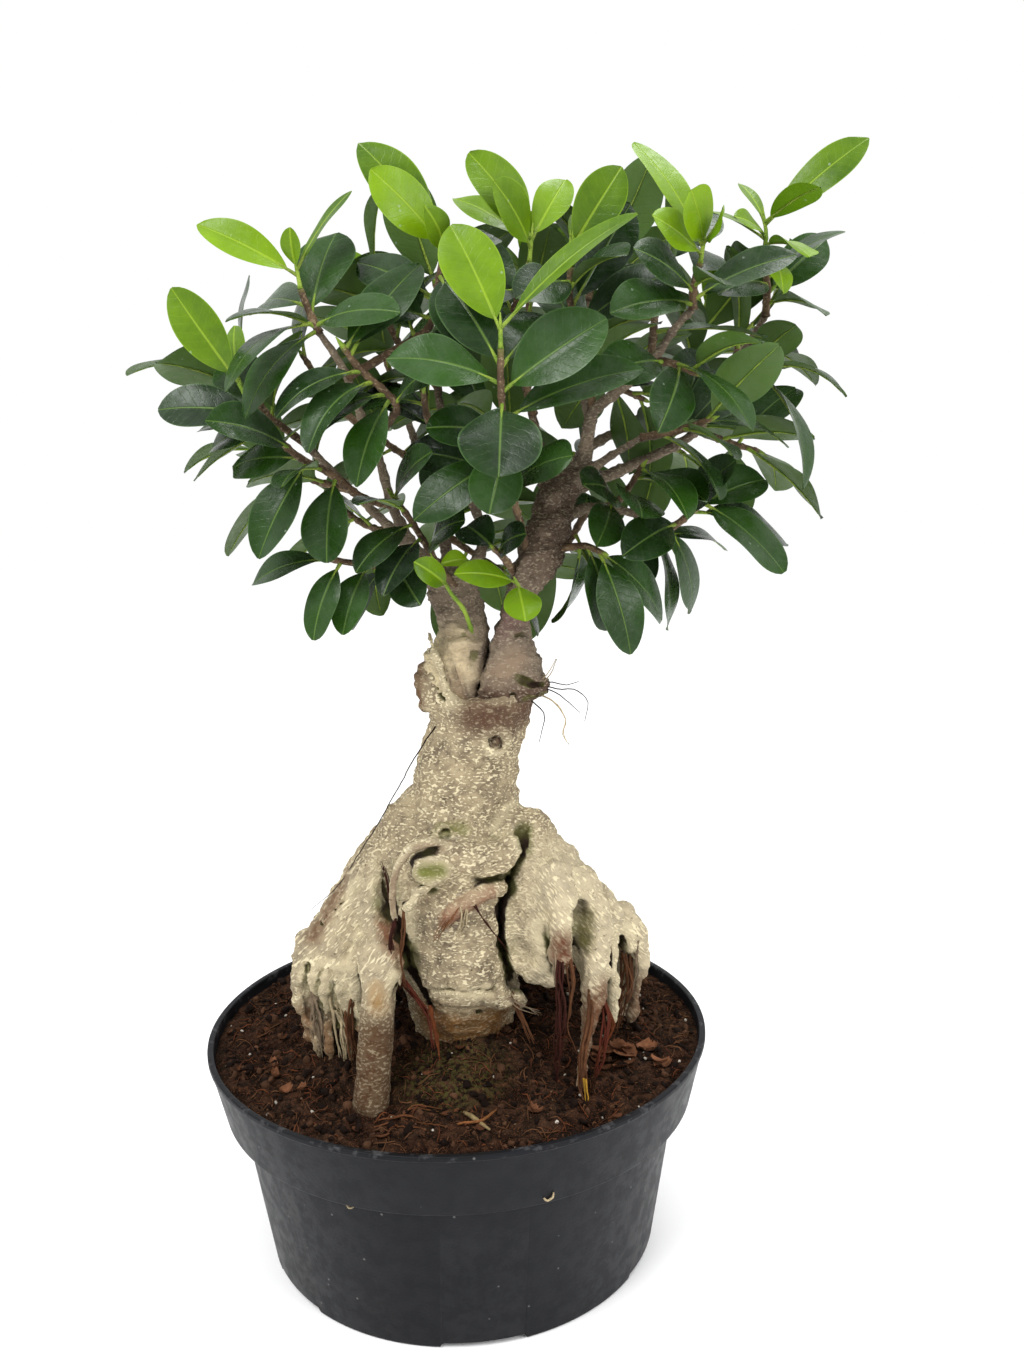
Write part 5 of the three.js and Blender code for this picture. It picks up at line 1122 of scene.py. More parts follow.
def knobbly(path, spacing, swell):
    """Swells a path's radii at old leaf scars, a spacing apart."""
    path = np.array(path)
    travelled = np.concatenate([[0], np.cumsum(np.linalg.norm(np.diff(path[:, :3], axis=0), axis=1))])
    nearness = np.cos(2 * math.pi * travelled / spacing)
    path[:, 3] *= 1 + swell * np.clip(nearness - KNOB_START, 0, 1) / (1 - KNOB_START)
    return path


print("branches:", len(LEFT_BRANCHES) + len(RIGHT_BRANCHES))

# %% The scions and their branches
SCION_CELL = 0.75
SCION_FOLD_REACH, GRAFT_OVERLAP = 2.6, 3.2
SCION_WRINKLES = [(1.2, 9, 2.4), (0.8, 4, 2.6), (0.45, 1.8, 2)]
BRANCH_STEP, BRANCH_SIDES, BRANCH_ROUGHNESS, SCAR_SPACING, SCAR_SWELL = 1.6, 12, 0.22, 9.5, 0.2


def make_scion(name, node, side, forms, dents, branches):
    """A scion with its foot and branches. Its side is -1 for the left of the cleft and 1 for the right."""
    wood = Wood((-24, -36, 244), (78, 30, 362), SCION_CELL)
    for blend, chain in forms:
        wood.grow(chain, blend)
    for blend, chain in dents:
        wood.carve(chain, blend)
    wood.keep(lambda x, y, z: -GRAFT_OVERLAP - above_graft(x, y, z) + 0 * y)
    wood.keep(lambda x, y, z: CLEFT_GAP - side * past_cleft(x, z) + 0 * y)
    points, quads, facing = wood.skin()
    fold = wood.folded(points, facing, SCION_FOLD_REACH)
    colour, cover = stain_points(points, SCION_STAINS_AND_SHADE)
    heap = Heap()
    heap.add(wrinkle(points, facing, SCION_WRINKLES), quads, fold=fold, stain=colour, stained=cover)
    for i, branch in enumerate(branches):
        path = knobbly(smooth_path(branch, BRANCH_STEP), SCAR_SPACING, SCAR_SWELL)
        heap.add(*tube(path, BRANCH_SIDES, BRANCH_ROUGHNESS, 7.3 * i), fold=0.0, stain=np.ones(3), stained=0.0)
    scion = heap.make(name, "scion_bark", [brown_bark])
    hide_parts(node)
    print(name, "faces:", len(scion.data.polygons))


make_scion("left_scion", "graft_left", -1, LEFT_FOOT, LEFT_DENTS, LEFT_BRANCHES)
make_scion("right_scion", "graft_right", 1, RIGHT_FOOT, RIGHT_DENTS, RIGHT_BRANCHES)

# %% [markdown]
# ## Finish of the leaves
# A leaf of this ficus is deep green and half glossy above, paler and duller below, with a pale rib and
# faint side veins. The veins could be an image laid over each leaf. Here every point keeps its distance from
# the rib and from the stalk in millimetres and its leaf's own tone, and a node group draws the rib and the
# slanting side veins from these, so no two leaves are alike. The rim is a little lighter.

# %% Veins of a leaf
veins, given = start_group("leaf veins", {"Across": 0.0, "Along": 0.0, "Tone": 0.5},
                           {"Rib": "Float", "Side Veins": "Float"})
away = sum_up(veins, "ABSOLUTE", given["Across"])
rib = remap(veins, sum_up(veins, "ADD", away, sum_up(veins, "MULTIPLY", given["Along"], 0.011)), 0.85, 0.35)
leaf_spot = add_node(veins, "CombineXYZ", X=given["Across"], Y=given["Along"], Z=given["Tone"]).outputs[0]
phase = sum_up(veins, "MULTIPLY_ADD", given["Along"], 0.26, given["Tone"])
phase = sum_up(veins, "SUBTRACT", phase, sum_up(veins, "MULTIPLY", away, 0.16))
phase = sum_up(veins, "MULTIPLY_ADD", cloud(veins, leaf_spot, 0.35, 2.0), 0.7, phase)
from_line = sum_up(veins, "SUBTRACT", sum_up(veins, "FRACT", phase), 0.5)
end_group(veins, Rib=rib, Side_Veins=remap(veins, sum_up(veins, "ABSOLUTE", from_line), 0.09, 0.0))

# %% Materials of the leaves
def leaf_material(name, dark, light, under, rib_colour, rim_colour, vein_share, roughness, chalk):
    """A leaf's finish. Its colours are those of shade, light, underside, rib and rim."""
    material, tree, place, tones = start_material(name, 0.025, Specular_IOR_Level=0.2)
    blade = add_node(tree, "SeparateXYZ", Vector=attribute(tree, "blade", "Vector")).outputs
    share = sum_up(tree, "MULTIPLY_ADD", tones["Broad"], 0.35, sum_up(tree, "MULTIPLY", blade["Z"], 0.65))
    lines = use_group(tree, veins, Across=blade["X"], Along=blade["Y"], Tone=blade["Z"])
    below = attribute(tree, "underside")
    base = mix_colours(tree, lines["Side Veins"], mix_colours(tree, share, dark, light), rib_colour, vein_share)
    base = mix_colours(tree, below, base, under)
    base = mix_colours(tree, lines["Rib"], base, rib_colour, 0.6)
    base = mix_colours(tree, remap(tree, attribute(tree, "rim"), 0.93, 1.0, 0, 0.7), base, rim_colour)
    chalky = use_group(tree, dust, Colour=base, Dust_Colour=paint(168, 182, 168), Amount=chalk, Specks=0.3, Place=place)
    shine = remap(tree, tones["Fine"], 0, 1, roughness - 0.06, roughness + 0.08)
    shine = sum_up(tree, "MULTIPLY_ADD", below, 0.2, shine)
    shine = sum_up(tree, "MULTIPLY_ADD", chalky["Mask"], 0.15, shine)
    raised = sum_up(tree, "MULTIPLY_ADD", lines["Side Veins"], -0.12, sum_up(tree, "MULTIPLY", tones["Fine"], 0.25))
    raised = sum_up(tree, "MULTIPLY_ADD", lines["Rib"], -0.8, raised)
    end_material(material, chalky["Colour"], shine, raised, 0.0005, 0.55)
    return material


dark_leaf = leaf_material("dark leaf", paint(8, 26, 6), paint(38, 70, 14), paint(66, 92, 34), paint(92, 120, 50),
                          paint(66, 94, 48), 0.05, 0.28, 0.05)
young_leaf = leaf_material("young leaf", paint(42, 74, 2), paint(116, 150, 8), paint(92, 128, 12), paint(138, 166, 40),
                           paint(118, 150, 26), 0.07, 0.34, 0.01)

# %% Material of the twigs
twig_bark, tree, place, tones = start_material("twig bark", 0.006, Specular_IOR_Level=0.12)
marks = use_group(tree, pores, Place=place, Length=0.0016, Height=0.0012, Cover=0.3)["Mask"]
woody = mix_colours(tree, tones["Broad"], paint(74, 58, 45), paint(116, 95, 72))
woody = mix_colours(tree, marks, woody, paint(176, 158, 128), 0.35)
green = mix_colours(tree, tones["Broad"], paint(110, 140, 50), paint(146, 168, 66))
end_material(twig_bark, mix_colours(tree, attribute(tree, "greenness"), woody, green),
             remap(tree, tones["Fine"], 0, 1, 0.5, 0.75), sum_up(tree, "ADD", tones["Fine"], marks), 0.0004, 0.7)

# %% [markdown]
# ## Leaves
# A leaf is a smooth, slightly folded blade with a thin stalk that goes on as a raised rib underneath. Leaves
# could be instanced, but on a real tree no two are alike, and the measured model already says where each
# one is. So each measured leaf is read back: its middle line is a parabola through three points, and its
# rings give its width and its tilt. A fine blade, a stalk and a rib are then grown along that line.

# %% Reading the measured leaves
FIRST_RING, SECOND_RING, KEEL, FOLD_SLOPE, TAPER = 0.6, 0.83, 0.55, 0.12, 0.68
RING_ERROR = 0.03


def ring_of(points, corners):
    """The middle, the half width, the up and the side of a three-cornered ring, or None."""
    gaps = [np.linalg.norm(points[corners[i - 1]] - points[corners[i - 2]]) for i in range(3)]
    k = int(np.argmax(gaps))
    keel, one, other = points[corners[k]], points[corners[k - 1]], points[corners[k - 2]]
    lift = (one + other) / 2 - keel
    half, depth = gaps[k] / 2, np.linalg.norm(lift)
    side = (other - one) / gaps[k]
    if abs(depth - KEEL - FOLD_SLOPE * half) + abs(np.dot(lift, side)) > RING_ERROR:
        return None
    return keel + lift * KEEL / depth, half, lift / depth, side


def neighbours(node):
    """A measured mesh's points in millimetres, and for each point the set of its neighbours."""
    mesh = node.data
    points = np.empty(len(mesh.vertices) * 3)
    mesh.vertices.foreach_get("co", points)
    points = points.reshape(-1, 3) / MM
    _, first, joined = np.unique(np.round(points / 2e-3).astype(int), axis=0, return_index=True, return_inverse=True)
    corners = np.empty(len(mesh.loops), int)
    mesh.loops.foreach_get("vertex_index", corners)
    near = [set() for _ in first]
    for trio in joined.ravel()[corners].reshape(-1, 3).tolist():
        for i in range(3):
            near[trio[i]].update((trio[i - 1], trio[i - 2]))
    return points[first], near


def read_leaves(node):
    """Each leaf of a measured shoot as (three points of its middle line, half width, up, side)."""
    points, near = neighbours(node)
    leaves = []
    for tip, around in enumerate(near):
        ring = sorted(around - {tip})
        if len(ring) != 3 or any(ring[i - 1] not in near[ring[i]] for i in range(3)):
            continue
        outer = ring_of(points, ring)
        if outer is None:
            continue
        beyond = sorted(set().union(*[near[i] for i in ring]) - set(ring) - {tip})
        for trio in itertools.combinations(beyond, 3):
            inner = ring_of(points, trio)
            if inner is not None and abs(inner[1] * TAPER - outer[1]) < RING_ERROR:
                leaves.append((inner[0], outer[0], points[tip], inner[1], inner[2], inner[3]))
                break
    return leaves


print("leaves of the front shoot:", len(read_leaves(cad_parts["shoot_front"])))

# %% A leaf's lines and widths
BLADE_START, BLADE_ROWS = 0.1, 22
ACROSS = np.array([-1, -0.8, -0.55, -0.28, 0, 0.28, 0.55, 0.8, 1.0])
WIDENING = 0.85  # how slowly a blade widens from its stalk
SMALL_STEP = 0.01


def leaf_line(leaf, shares):
    """Points of the leaf's middle line, at shares from 0 at the twig to 1 at the tip."""
    inner, outer, tip = leaf[:3]
    s = np.asarray(shares, float)[..., None]
    return (inner * (s - SECOND_RING) * (s - 1) / ((FIRST_RING - SECOND_RING) * (FIRST_RING - 1))
            + outer * (s - FIRST_RING) * (s - 1) / ((SECOND_RING - FIRST_RING) * (SECOND_RING - 1))
            + tip * (s - FIRST_RING) * (s - SECOND_RING) / ((1 - FIRST_RING) * (1 - SECOND_RING)))


def leaf_ways(leaf, shares):
    """The directions along the middle line, and out of the leaf's upper side."""
    up, side = leaf[4:]
    ways = unit(leaf_line(leaf, shares + SMALL_STEP) - leaf_line(leaf, shares - SMALL_STEP))
    ups = unit(np.cross(side, ways))
    return ways, ups * np.sign(ups @ up)[:, None]


def sag(shares, depth):
    """How far the outer half of a leaf hangs below its middle line."""
    return (depth * np.clip(shares - 0.5, 0, 1) ** 2 * 4)[:, None]


def blade_width(share, fullness):
    """The share of the widest half width, along the blade from 0 to 1."""
    shape = share ** WIDENING * (1 - share) ** fullness
    widest = WIDENING / (WIDENING + fullness)
    return shape / (widest ** WIDENING * (1 - widest) ** fullness)


print("points of a blade:", BLADE_ROWS * len(ACROSS) * 2)

# %% Growing a fine leaf
SHEET_GAP, FACE_GAP, WIDE_LEAF = 0.02, 0.02, 0.55
SLIM_FULLNESS, WIDE_FULLNESS, SPREAD = 0.7, 0.58, 1.05
STALK_SIDES = 6
STALK_SHARES = np.concatenate([np.linspace(0, 0.14, 4), np.linspace(0.24, 0.94, 6)])
LOW_CORNER, HIGH_CORNER = (np.array(corner) / MM for corner in cad_box)


def grow_blade(heap, leaf, length, droop, wave, phase, tone, cup, thickness):
    """The two sheets of a blade. Its points keep their place on it, which the finish reads."""
    half, up, side = leaf[3:]
    shares = np.linspace(0.004, 0.996, BLADE_ROWS) ** 0.96
    rows = BLADE_START + (1 - BLADE_START) * shares
    ways, ups = leaf_ways(leaf, rows)
    spine = leaf_line(leaf, rows) - ups * sag(rows, droop * length)
    fullness = SLIM_FULLNESS if half * 2 < WIDE_LEAF * length else WIDE_FULLNESS
    widths = (half * SPREAD * blade_width(shares, fullness))[:, None]
    u = ACROSS[None, :]
    lift = widths * (cup * np.abs(u) - 0.08 * u ** 2)
    lift += half * wave * np.sin(phase + 9 * rows[:, None] + 1.3 * np.sign(u)) * u ** 2
    top = spine[:, None] + side * (widths * u)[..., None] + ups[:, None] * lift[..., None]
    bottom = top - ups[:, None] * (thickness * (1 - u ** 4) + SHEET_GAP)[..., None]
    columns = len(ACROSS)
    quads = grid_quads(BLADE_ROWS, columns)
    upward = np.dot(np.cross(side, ways[BLADE_ROWS // 2]), up) > 0
    upper = quads if upward else quads[:, [0, 3, 2, 1]]
    along = np.repeat((rows - BLADE_START) * length, columns)
    blade = np.stack([(widths * u).ravel(), along, np.full(len(along), tone)], 1)
    rim = np.tile(np.abs(ACROSS), BLADE_ROWS)
    for sheet, faces, below in ((top, upper, 0.0), (bottom, upper[:, ::-1], 1.0)):
        sheet = np.clip(sheet, LOW_CORNER + FACE_GAP, HIGH_CORNER - FACE_GAP)
        heap.add(sheet.reshape(-1, 3), faces, 0, blade=blade, underside=below, rim=rim, greenness=1.0)


def grow_stalk(heap, leaf, sag_depth, radius, thickness, greenness):
    """The stalk, which goes on below the blade as its rib."""
    ups = leaf_ways(leaf, STALK_SHARES)[1]
    radii = np.interp(STALK_SHARES, [0, 0.12, 0.2, 0.95], [radius * 1.35, radius, radius * 0.75, 0.12])
    drop = np.interp(STALK_SHARES, [0, 0.1, 0.2, 1], [0, 0.1, thickness + 0.1, thickness])[:, None]
    spots = leaf_line(leaf, STALK_SHARES) - ups * (drop + sag(STALK_SHARES, sag_depth))
    shape = tube(np.column_stack([spots, radii]), STALK_SIDES)
    heap.add(*shape, 1, blade=np.zeros(3), underside=1.0, rim=0.0, greenness=greenness)


def grow_leaf(heap, leaf, random, stalk_radius, thickness):
    """A blade with its own droop, waves, tone and cup, and its stalk."""
    length = np.linalg.norm(leaf[2] - leaf_line(leaf, 0.0))
    droop, wave, phase = random.uniform(-0.01, 0.03), random.uniform(0.03, 0.1), random.uniform(0, 6)
    tone, cup = random.uniform(), random.uniform(0.04, 0.38)
    grow_blade(heap, leaf, length, droop, wave, phase, tone, cup, thickness)
    grow_stalk(heap, leaf, droop * length, stalk_radius, thickness, random.uniform(0.75, 1.0))


print("sides of a stalk:", STALK_SIDES)

# %% [markdown]
# ## Shoots
# Each shoot of the model is one piece: a twig with its leaves. The twigs are listed from branch to tip.
# A dark shoot ends in a slender pointed bud, unless a young green tip goes on from it, and the young tips
# have thin green stems.

# %% The twigs
DARK_TWIGS = {
    "shoot_front": [[36, -9, 318], [34, -15, 330], [28, -35, 351], [24, -60, 384], [24, -64, 401]],
    "shoot_left_low": [[-21, -12, 342], [-33, -20, 346], [-45, -26, 356], [-57, -30, 363], [-68, -32, 374],
                       [-76, -32, 386]],
    "shoot_left_top": [[-46, -34, 411], [-49, -36, 418], [-52, -38, 427]],
    "shoot_dark_twig": [[-28, -18, 368], [-20, -34, 376], [-17, -41, 383], [-30, -45, 396], [-35, -48, 403]],
    "shoot_top_left": [[-36, -29, 394], [-18, -34, 403], [-3, -35, 412], [1, -38, 426], [3, -40, 436]],
    "shoot_top_mid": [[42, 15, 380], [36, -4, 398], [31, -20, 412], [34, -26, 427], [38, -28, 437]],
    "shoot_mid_right": [[66, -5, 379], [64, -8, 390], [60, -14, 404], [55, -20, 424], [55, -24, 436]],
    "shoot_right_top": [[102, -38, 417], [102, -40, 426], [104, -42, 434]],
    "shoot_right_mid": [[87, -28, 398], [94, -34, 397], [101, -40, 393]],
    "shoot_far_right": [[143, 6, 419], [142, 0, 430], [139, -5, 443]],
    "shoot_far_side": [[131, 10, 398], [136, 5, 396], [142, 0, 394]],
    "shoot_low_right": [[96, 1, 327], [103, -4, 331], [107, -8, 335], [112, -11, 340]],
    "shoot_low_mid": [[69, 10, 337], [77, -6, 342], [84, -20, 355]],
    "shoot_hang_right": [[44, -5, 320], [54, -8, 322], [61, -14, 323], [66, -20, 321]],
    "shoot_back_hang": [[89, 10, 334], [96, 16, 328], [103, 22, 323]],
    "shoot_left_twig": [[-11, -9, 321], [-18, -15, 316], [-33, -20, 318], [-47, -25, 321]],
    "shoot_thin_twig": [[8, -10, 303], [-1, -18, 315], [-13, -22, 336], [-19, -26, 345]],
    "shoot_grey_pair": [[32, -9, 310], [25, -22, 320], [22, -27, 323]],
}
INNER_TWIGS = [
    [[-18, 56, 390], [-24, 66, 408], [-24, 68, 424]], [[-8, 38, 358], [-26, 54, 370], [-34, 60, 384]],
    [[-40, 20, 348], [-60, 28, 354], [-78, 34, 366]], [[-58, 12, 368], [-74, 10, 382], [-86, 8, 400]],
    [[4, 18, 418], [2, 28, 430], [0, 36, 440]], [[38, 18, 396], [41, 24, 416], [42, 30, 434]],
    [[75, 60, 402], [77, 64, 418], [78, 66, 434]], [[113, 52, 390], [122, 54, 404], [126, 54, 420]],
    [[66, 32, 362], [66, 52, 362], [62, 68, 358]], [[0, 22, 328], [10, 44, 340], [14, 62, 350]],
    [[92, 46, 377], [106, 58, 368], [118, 66, 362]], [[-20, 14, 328], [-36, 36, 332], [-48, 50, 340]],
    [[115, 15, 371], [130, 22, 366], [144, 26, 362]], [[131, 10, 398], [136, 26, 408], [142, 36, 418]],
    [[66, 8, 426], [68, 14, 434], [72, 18, 442]], [[0, 14, 392], [-16, 8, 410], [-24, 4, 430]],
    [[-30, -20, 373], [-44, -6, 386], [-56, 4, 404]], [[85, -15, 368], [98, -22, 370], [110, -26, 374]],
    [[5, 10, 367], [-4, -6, 376], [-6, -16, 388]], [[87, -28, 398], [92, -10, 420], [98, 4, 440]],
    [[0, 22, 328], [14, 27, 318], [26, 32, 310]], [[65, 10, 338], [59, 24, 324], [52, 34, 312]],
    [[44, 14, 366], [30, 22, 374], [16, 28, 382]], [[62, 3, 400], [76, 12, 392], [90, 18, 386]],
]
YOUNG_TWIGS = {
    "young_front": [[24, -64, 401], [24, -65, 408]],
    "young_left_tip": [[-76, -32, 386], [-79, -33, 393]],
    "young_left_top": [[-52, -38, 427], [-53, -38, 434]],
    "young_top_left": [[3, -40, 436], [4, -41, 444]],
    "young_top_mid": [[38, -28, 437], [39, -29, 446]],
    "young_mid_right": [[55, -24, 436], [55, -25, 444]],
    "young_right_top": [[104, -42, 434], [105, -43, 441]],
    "young_far_top": [[139, -5, 443], [139, -8, 450], [138, -9, 455]],
    "young_sprout": [[12, -12, 285], [8, -24, 298], [2, -29, 307], [-3, -32, 318]],
    "young_lime_front": [[33, -10, 303], [32, -22, 306], [30, -30, 310]],
    "young_back_left": [[-24, 68, 424], [-24, 69, 432]],
    "young_back_top": [[42, 30, 434], [42, 32, 442]],
    "young_back_right": [[126, 54, 420], [127, 55, 428]],
}
for i, twig in enumerate(INNER_TWIGS, 1):
    DARK_TWIGS[f"shoot_spiral_{i:02d}"] = twig
print("twigs:", len(DARK_TWIGS) + len(YOUNG_TWIGS))

# %% Twigs and leaves of every shoot
DARK_RADII, YOUNG_RADII = (1.75, 1.25), (1.0, 0.7)
BUD_LENGTH, TWIG_STEP, TWIG_SIDES, TWIG_ROUGHNESS = 6, 1.4, 8, 0.12
LEAF_SPACING, LEAF_SWELL = 6.5, 0.22
young_starts = {tuple(twig[0]) for twig in YOUNG_TWIGS.values()}


def make_shoot(node, twig, young, seed):
    """Makes a twig with its bud and leaves as one piece, and returns how many leaves it has."""
    random = np.random.default_rng(seed)
    heap = Heap()
    thick, thin = YOUNG_RADII if young else DARK_RADII
    path = [[*spot, radius] for spot, radius in zip(twig, np.linspace(thick, thin, len(twig)))]
    has_bud = tuple(twig[-1]) not in young_starts
    if has_bud:
        end = np.array(twig[-1], float)
        ahead = unit(end - np.array(twig[-2], float))
        for share, radius in ((0.25, thin * 0.95), (0.65, thin * 0.6), (1.0, 0.2)):
            path.append([*(end + ahead * BUD_LENGTH * share), radius])
    path = knobbly(smooth_path(path, TWIG_STEP), LEAF_SPACING, LEAF_SWELL)
    points, faces = tube(path, TWIG_SIDES, TWIG_ROUGHNESS, seed)
    green_start, green_share = (0.86, 1.0) if has_bud else (0.95, 0.3)
    tip_green = ease(np.linspace(0, 1, len(path)), green_start, 0.06) * green_share
    greenness = np.concatenate([np.repeat(tip_green, TWIG_SIDES), [0, tip_green[-1]]])
    heap.add(points, faces, 1, blade=np.zeros(3), underside=0.0, rim=0.0,
             greenness=np.ones(len(points)) if young else greenness)
    leaves = read_leaves(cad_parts[node])
    for leaf in leaves:
        grow_leaf(heap, leaf, random, 0.6 if young else 0.75, 0.3 if young else 0.4)
    slot, finish = ("young_leaf", young_leaf) if young else ("dark_leaf", dark_leaf)
    shoot = heap.make(node.replace("shoot", "leafy"), slot, [finish, twig_bark])
    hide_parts(node)
    return len(leaves)


leaf_count = sum(make_shoot(node, twig, False, seed) for seed, (node, twig) in enumerate(DARK_TWIGS.items(), 1))
leaf_count += sum(make_shoot(node, twig, True, seed) for seed, (node, twig) in enumerate(YOUNG_TWIGS.items(), 101))
print("leaves:", leaf_count)

# %% [markdown]
# ## Thin roots, fibres and litter
# Where roots hung in the air they frayed into strands: dark red ones under the right lobe, hair roots at the
# graft, splayed ends on the belly. Blender's hair would be quick, but it doesn't survive an export, so each
# strand is a thin closed tube that wanders by seeded noise. Its colour is kept on its points, and one
# material serves all strands. The loose parts of the soil are made in the same way: crumbs are dented
# lumps, husks are small curled shells, and fibres are short bent tubes.

# %% Material of strands and litter
strand_fibre, tree, place, tones = start_material("dry fibre", 0.003, Specular_IOR_Level=0.08)
colour = mix_colours(tree, tones["Broad"], attribute(tree, "tint", "Vector"), paint(40, 26, 18), 0.45)
end_material(strand_fibre, colour, remap(tree, tones["Fine"], 0, 1, 0.6, 0.9), tones["Fine"], 0.0004, 0.8)

# %% Strands
STRAND_STEP, WANDER_HEIGHT, THINNING = 2.2, 0.35, 0.35
RED, DARK_RED, ORANGE = paint(90, 42, 30), paint(62, 30, 24), paint(122, 66, 38)
YELLOW, PALE, BLACK = paint(180, 138, 48), paint(196, 178, 142), paint(34, 28, 26)
BROWN, GREY, TAN = paint(98, 64, 42), paint(142, 124, 102), paint(132, 86, 56)


def strand(heap, path, colour, random, wander=0.5):
    """A thin wandering tube along points [x, y, z, radius]."""
    line = smooth_path(path, STRAND_STEP)
    drift = np.cumsum(random.normal(0, 1, (len(line), 3)), axis=0)
    drift -= np.linspace(0, 1, len(line))[:, None] * drift[-1]
    line[:, :3] += drift * wander * WANDER_HEIGHT
    heap.add(*tube(line, 5), tint=np.array(colour[:3]) * random.uniform(0.75, 1.2))


def fray(heap, path, count, spread, colour, random, radius):
    """Several strands along one path, apart from each other by up to spread."""
    path = np.array(path, float)
    for _ in range(count):
        shift = random.uniform(-1, 1, (len(path), 3)) * spread
        end = len(path) - (random.integers(0, 2) if len(path) > 3 else 0)
        radii = np.linspace(radius, radius * THINNING, len(path))[:, None]
        strand(heap, np.hstack([path + shift, radii])[:end], colour, random, 0.6)


print("strand helpers ready")

# %% Hanging roots
BUNDLES = [  # strands, spread, colour, radius, then [x, y, z]
    (9, 1.3, DARK_RED, 0.6, [[44, -54, 158], [43, -60, 147], [43, -62, 131], [41, -62, 112], [41, -62, 101]]),
    (5, 1.6, GREY, 0.5, [[42, -53, 160], [41, -58, 150], [42, -60, 138]]),
    (4, 1.4, BROWN, 0.5, [[46, -54, 158], [48, -59, 146], [47, -61, 130], [49, -62, 112]]),
    (12, 1.5, BROWN, 0.75, [[57, -50, 138], [55, -58, 124], [51, -66, 113], [51, -72, 103], [52, -76, 96]]),
    (2, 0.5, YELLOW, 0.5, [[51.5, -72, 108], [52, -74, 103], [52, -77, 95]]),
    (6, 0.9, ORANGE, 0.6, [[62, -47, 132], [66, -50, 120], [62, -53, 111], [58, -56, 103]]),
    (6, 1.6, RED, 0.6, [[59, -48, 136], [63, -52, 124], [60, -58, 110], [57, -62, 102]]),
    (9, 2.6, BROWN, 0.6, [[76, -30, 142], [75, -32, 130], [72, -33, 118], [70, -34, 106]]),
    (6, 2.4, GREY, 0.6, [[79, -28, 148], [80, -29, 136], [78, -29, 124]]),
    (12, 3.2, GREY, 0.8, [[-62, -32, 132], [-62, -34, 120], [-59, -36, 106]]),
    (12, 3.4, PALE, 0.7, [[-52, -36, 130], [-51, -39, 118], [-49, -41, 104]]),
    (8, 2.6, BROWN, 0.7, [[-46, -39, 132], [-46, -41, 120], [-44, -43, 106]]),
    (8, 1.5, TAN, 0.28, [[2, -56, 180], [-2, -58, 175], [-6, -58, 169], [-8, -57, 165]]),
    (7, 1.8, PALE, 0.35, [[4, -56, 178], [4, -59, 172], [1, -59, 166]]),
    (2, 0.6, DARK_RED, 0.35, [[8, -55, 180], [13, -56, 171], [20, -54, 161], [24, -53, 152]]),
    (3, 0.5, BROWN, 0.5, [[-21, -57, 179], [-22, -57, 167], [-23, -57, 156], [-22, -55, 144]]),
    (6, 1.0, DARK_RED, 0.5, [[-25, -57, 174], [-27, -56, 166], [-27, -55, 158]]),
    (5, 0.8, RED, 0.7, [[-26, -54, 152], [-20, -52, 142], [-13, -50, 130], [-11, -56, 116]]),
    (3, 0.8, ORANGE, 0.8, [[-12, -50, 132], [-10, -53, 122], [-9, -58, 112]]),
    (5, 1.4, BROWN, 0.45, [[22, -46, 134], [27, -52, 126], [31, -56, 117]]),
    (4, 1.5, GREY, 0.4, [[18, -46, 136], [26, -50, 132], [34, -52, 128]]),
    (5, 1.2, DARK_RED, 0.4, [[-26, -54, 180], [-28, -50, 188], [-30, -46, 195]]),
]
HAIRS = [  # how many, colour, [x, y, z]
    (1, BLACK, [[38, -12, 264], [46, -14, 264], [52, -15, 262], [58, -15, 264]]),
    (1, BLACK, [[38, -12, 262], [46, -14, 260], [53, -15, 255], [58, -15, 250]]),
    (1, BLACK, [[38, -13, 263], [47, -15, 261], [56, -16, 260], [61, -16, 255], [60, -16, 246]]),
    (2, PALE, [[38, -13, 260], [46, -15, 256], [51, -15, 248], [50, -15, 241], [52, -16, 236]]),
    (1, BLACK, [[36, -12, 256], [42, -14, 250], [42, -15, 244], [40, -15, 238]]),
    (2, PALE, [[38, -14, 262], [44, -16, 268], [47, -16, 274]]),
    (1, BLACK, [[-6, -14, 246], [-15, -17, 234], [-24, -20, 219], [-33, -22, 206], [-42, -24, 190], [-52, -24, 176],
                [-63, -24, 168]]),
]
hanging = Heap()
random = np.random.default_rng(7)
for count, spread, colour, radius, path in BUNDLES:
    fray(hanging, path, count, spread, colour, random, radius)
for count, colour, line in HAIRS:
    for _ in range(count):
        bent = np.array(line) + random.uniform(-0.8, 0.8, (len(line), 3))
        bent[0] = line[0]
        strand(hanging, np.column_stack([bent, np.linspace(0.34, 0.16, len(bent))]), colour, random)
hanging_roots = hanging.make("hanging_roots", "rootstock_bark", [strand_fibre])
print("strand faces:", len(hanging_roots.data.polygons))

# %% Dented lumps
def lump_shape(detail):
    """The points and faces of a ball, to be dented."""
    mesh = bmesh.new()
    bmesh.ops.create_icosphere(mesh, subdivisions=detail, radius=1)
    points = np.array([v.co[:] for v in mesh.verts])
    faces = [[v.index for v in f.verts] for f in mesh.faces]
    mesh.free()
    return points, faces


LUMP = lump_shape(2)
LITTER_REACH = 108.5


def soil_spot(random):
    """A random place on the soil."""
    while True:
        x, y = random.uniform(-LITTER_REACH, LITTER_REACH, 2)
        if math.hypot(x, y) < LITTER_REACH:
            return x, y


def dented_lump(random, size):
    points, faces = LUMP
    seed = Vector(random.uniform(-50, 50, 3))
    dents = np.array([1 + 0.55 * noise.noise(Vector(p) * 1.3 + seed) for p in points])
    stretch = random.uniform(0.6, 1.4, 3)
    turn = np.array(Matrix.Rotation(random.uniform(0, 6.3), 3, Vector(unit(random.normal(0, 1, 3)))))
    return (points * dents[:, None] * stretch) @ turn.T * size, faces


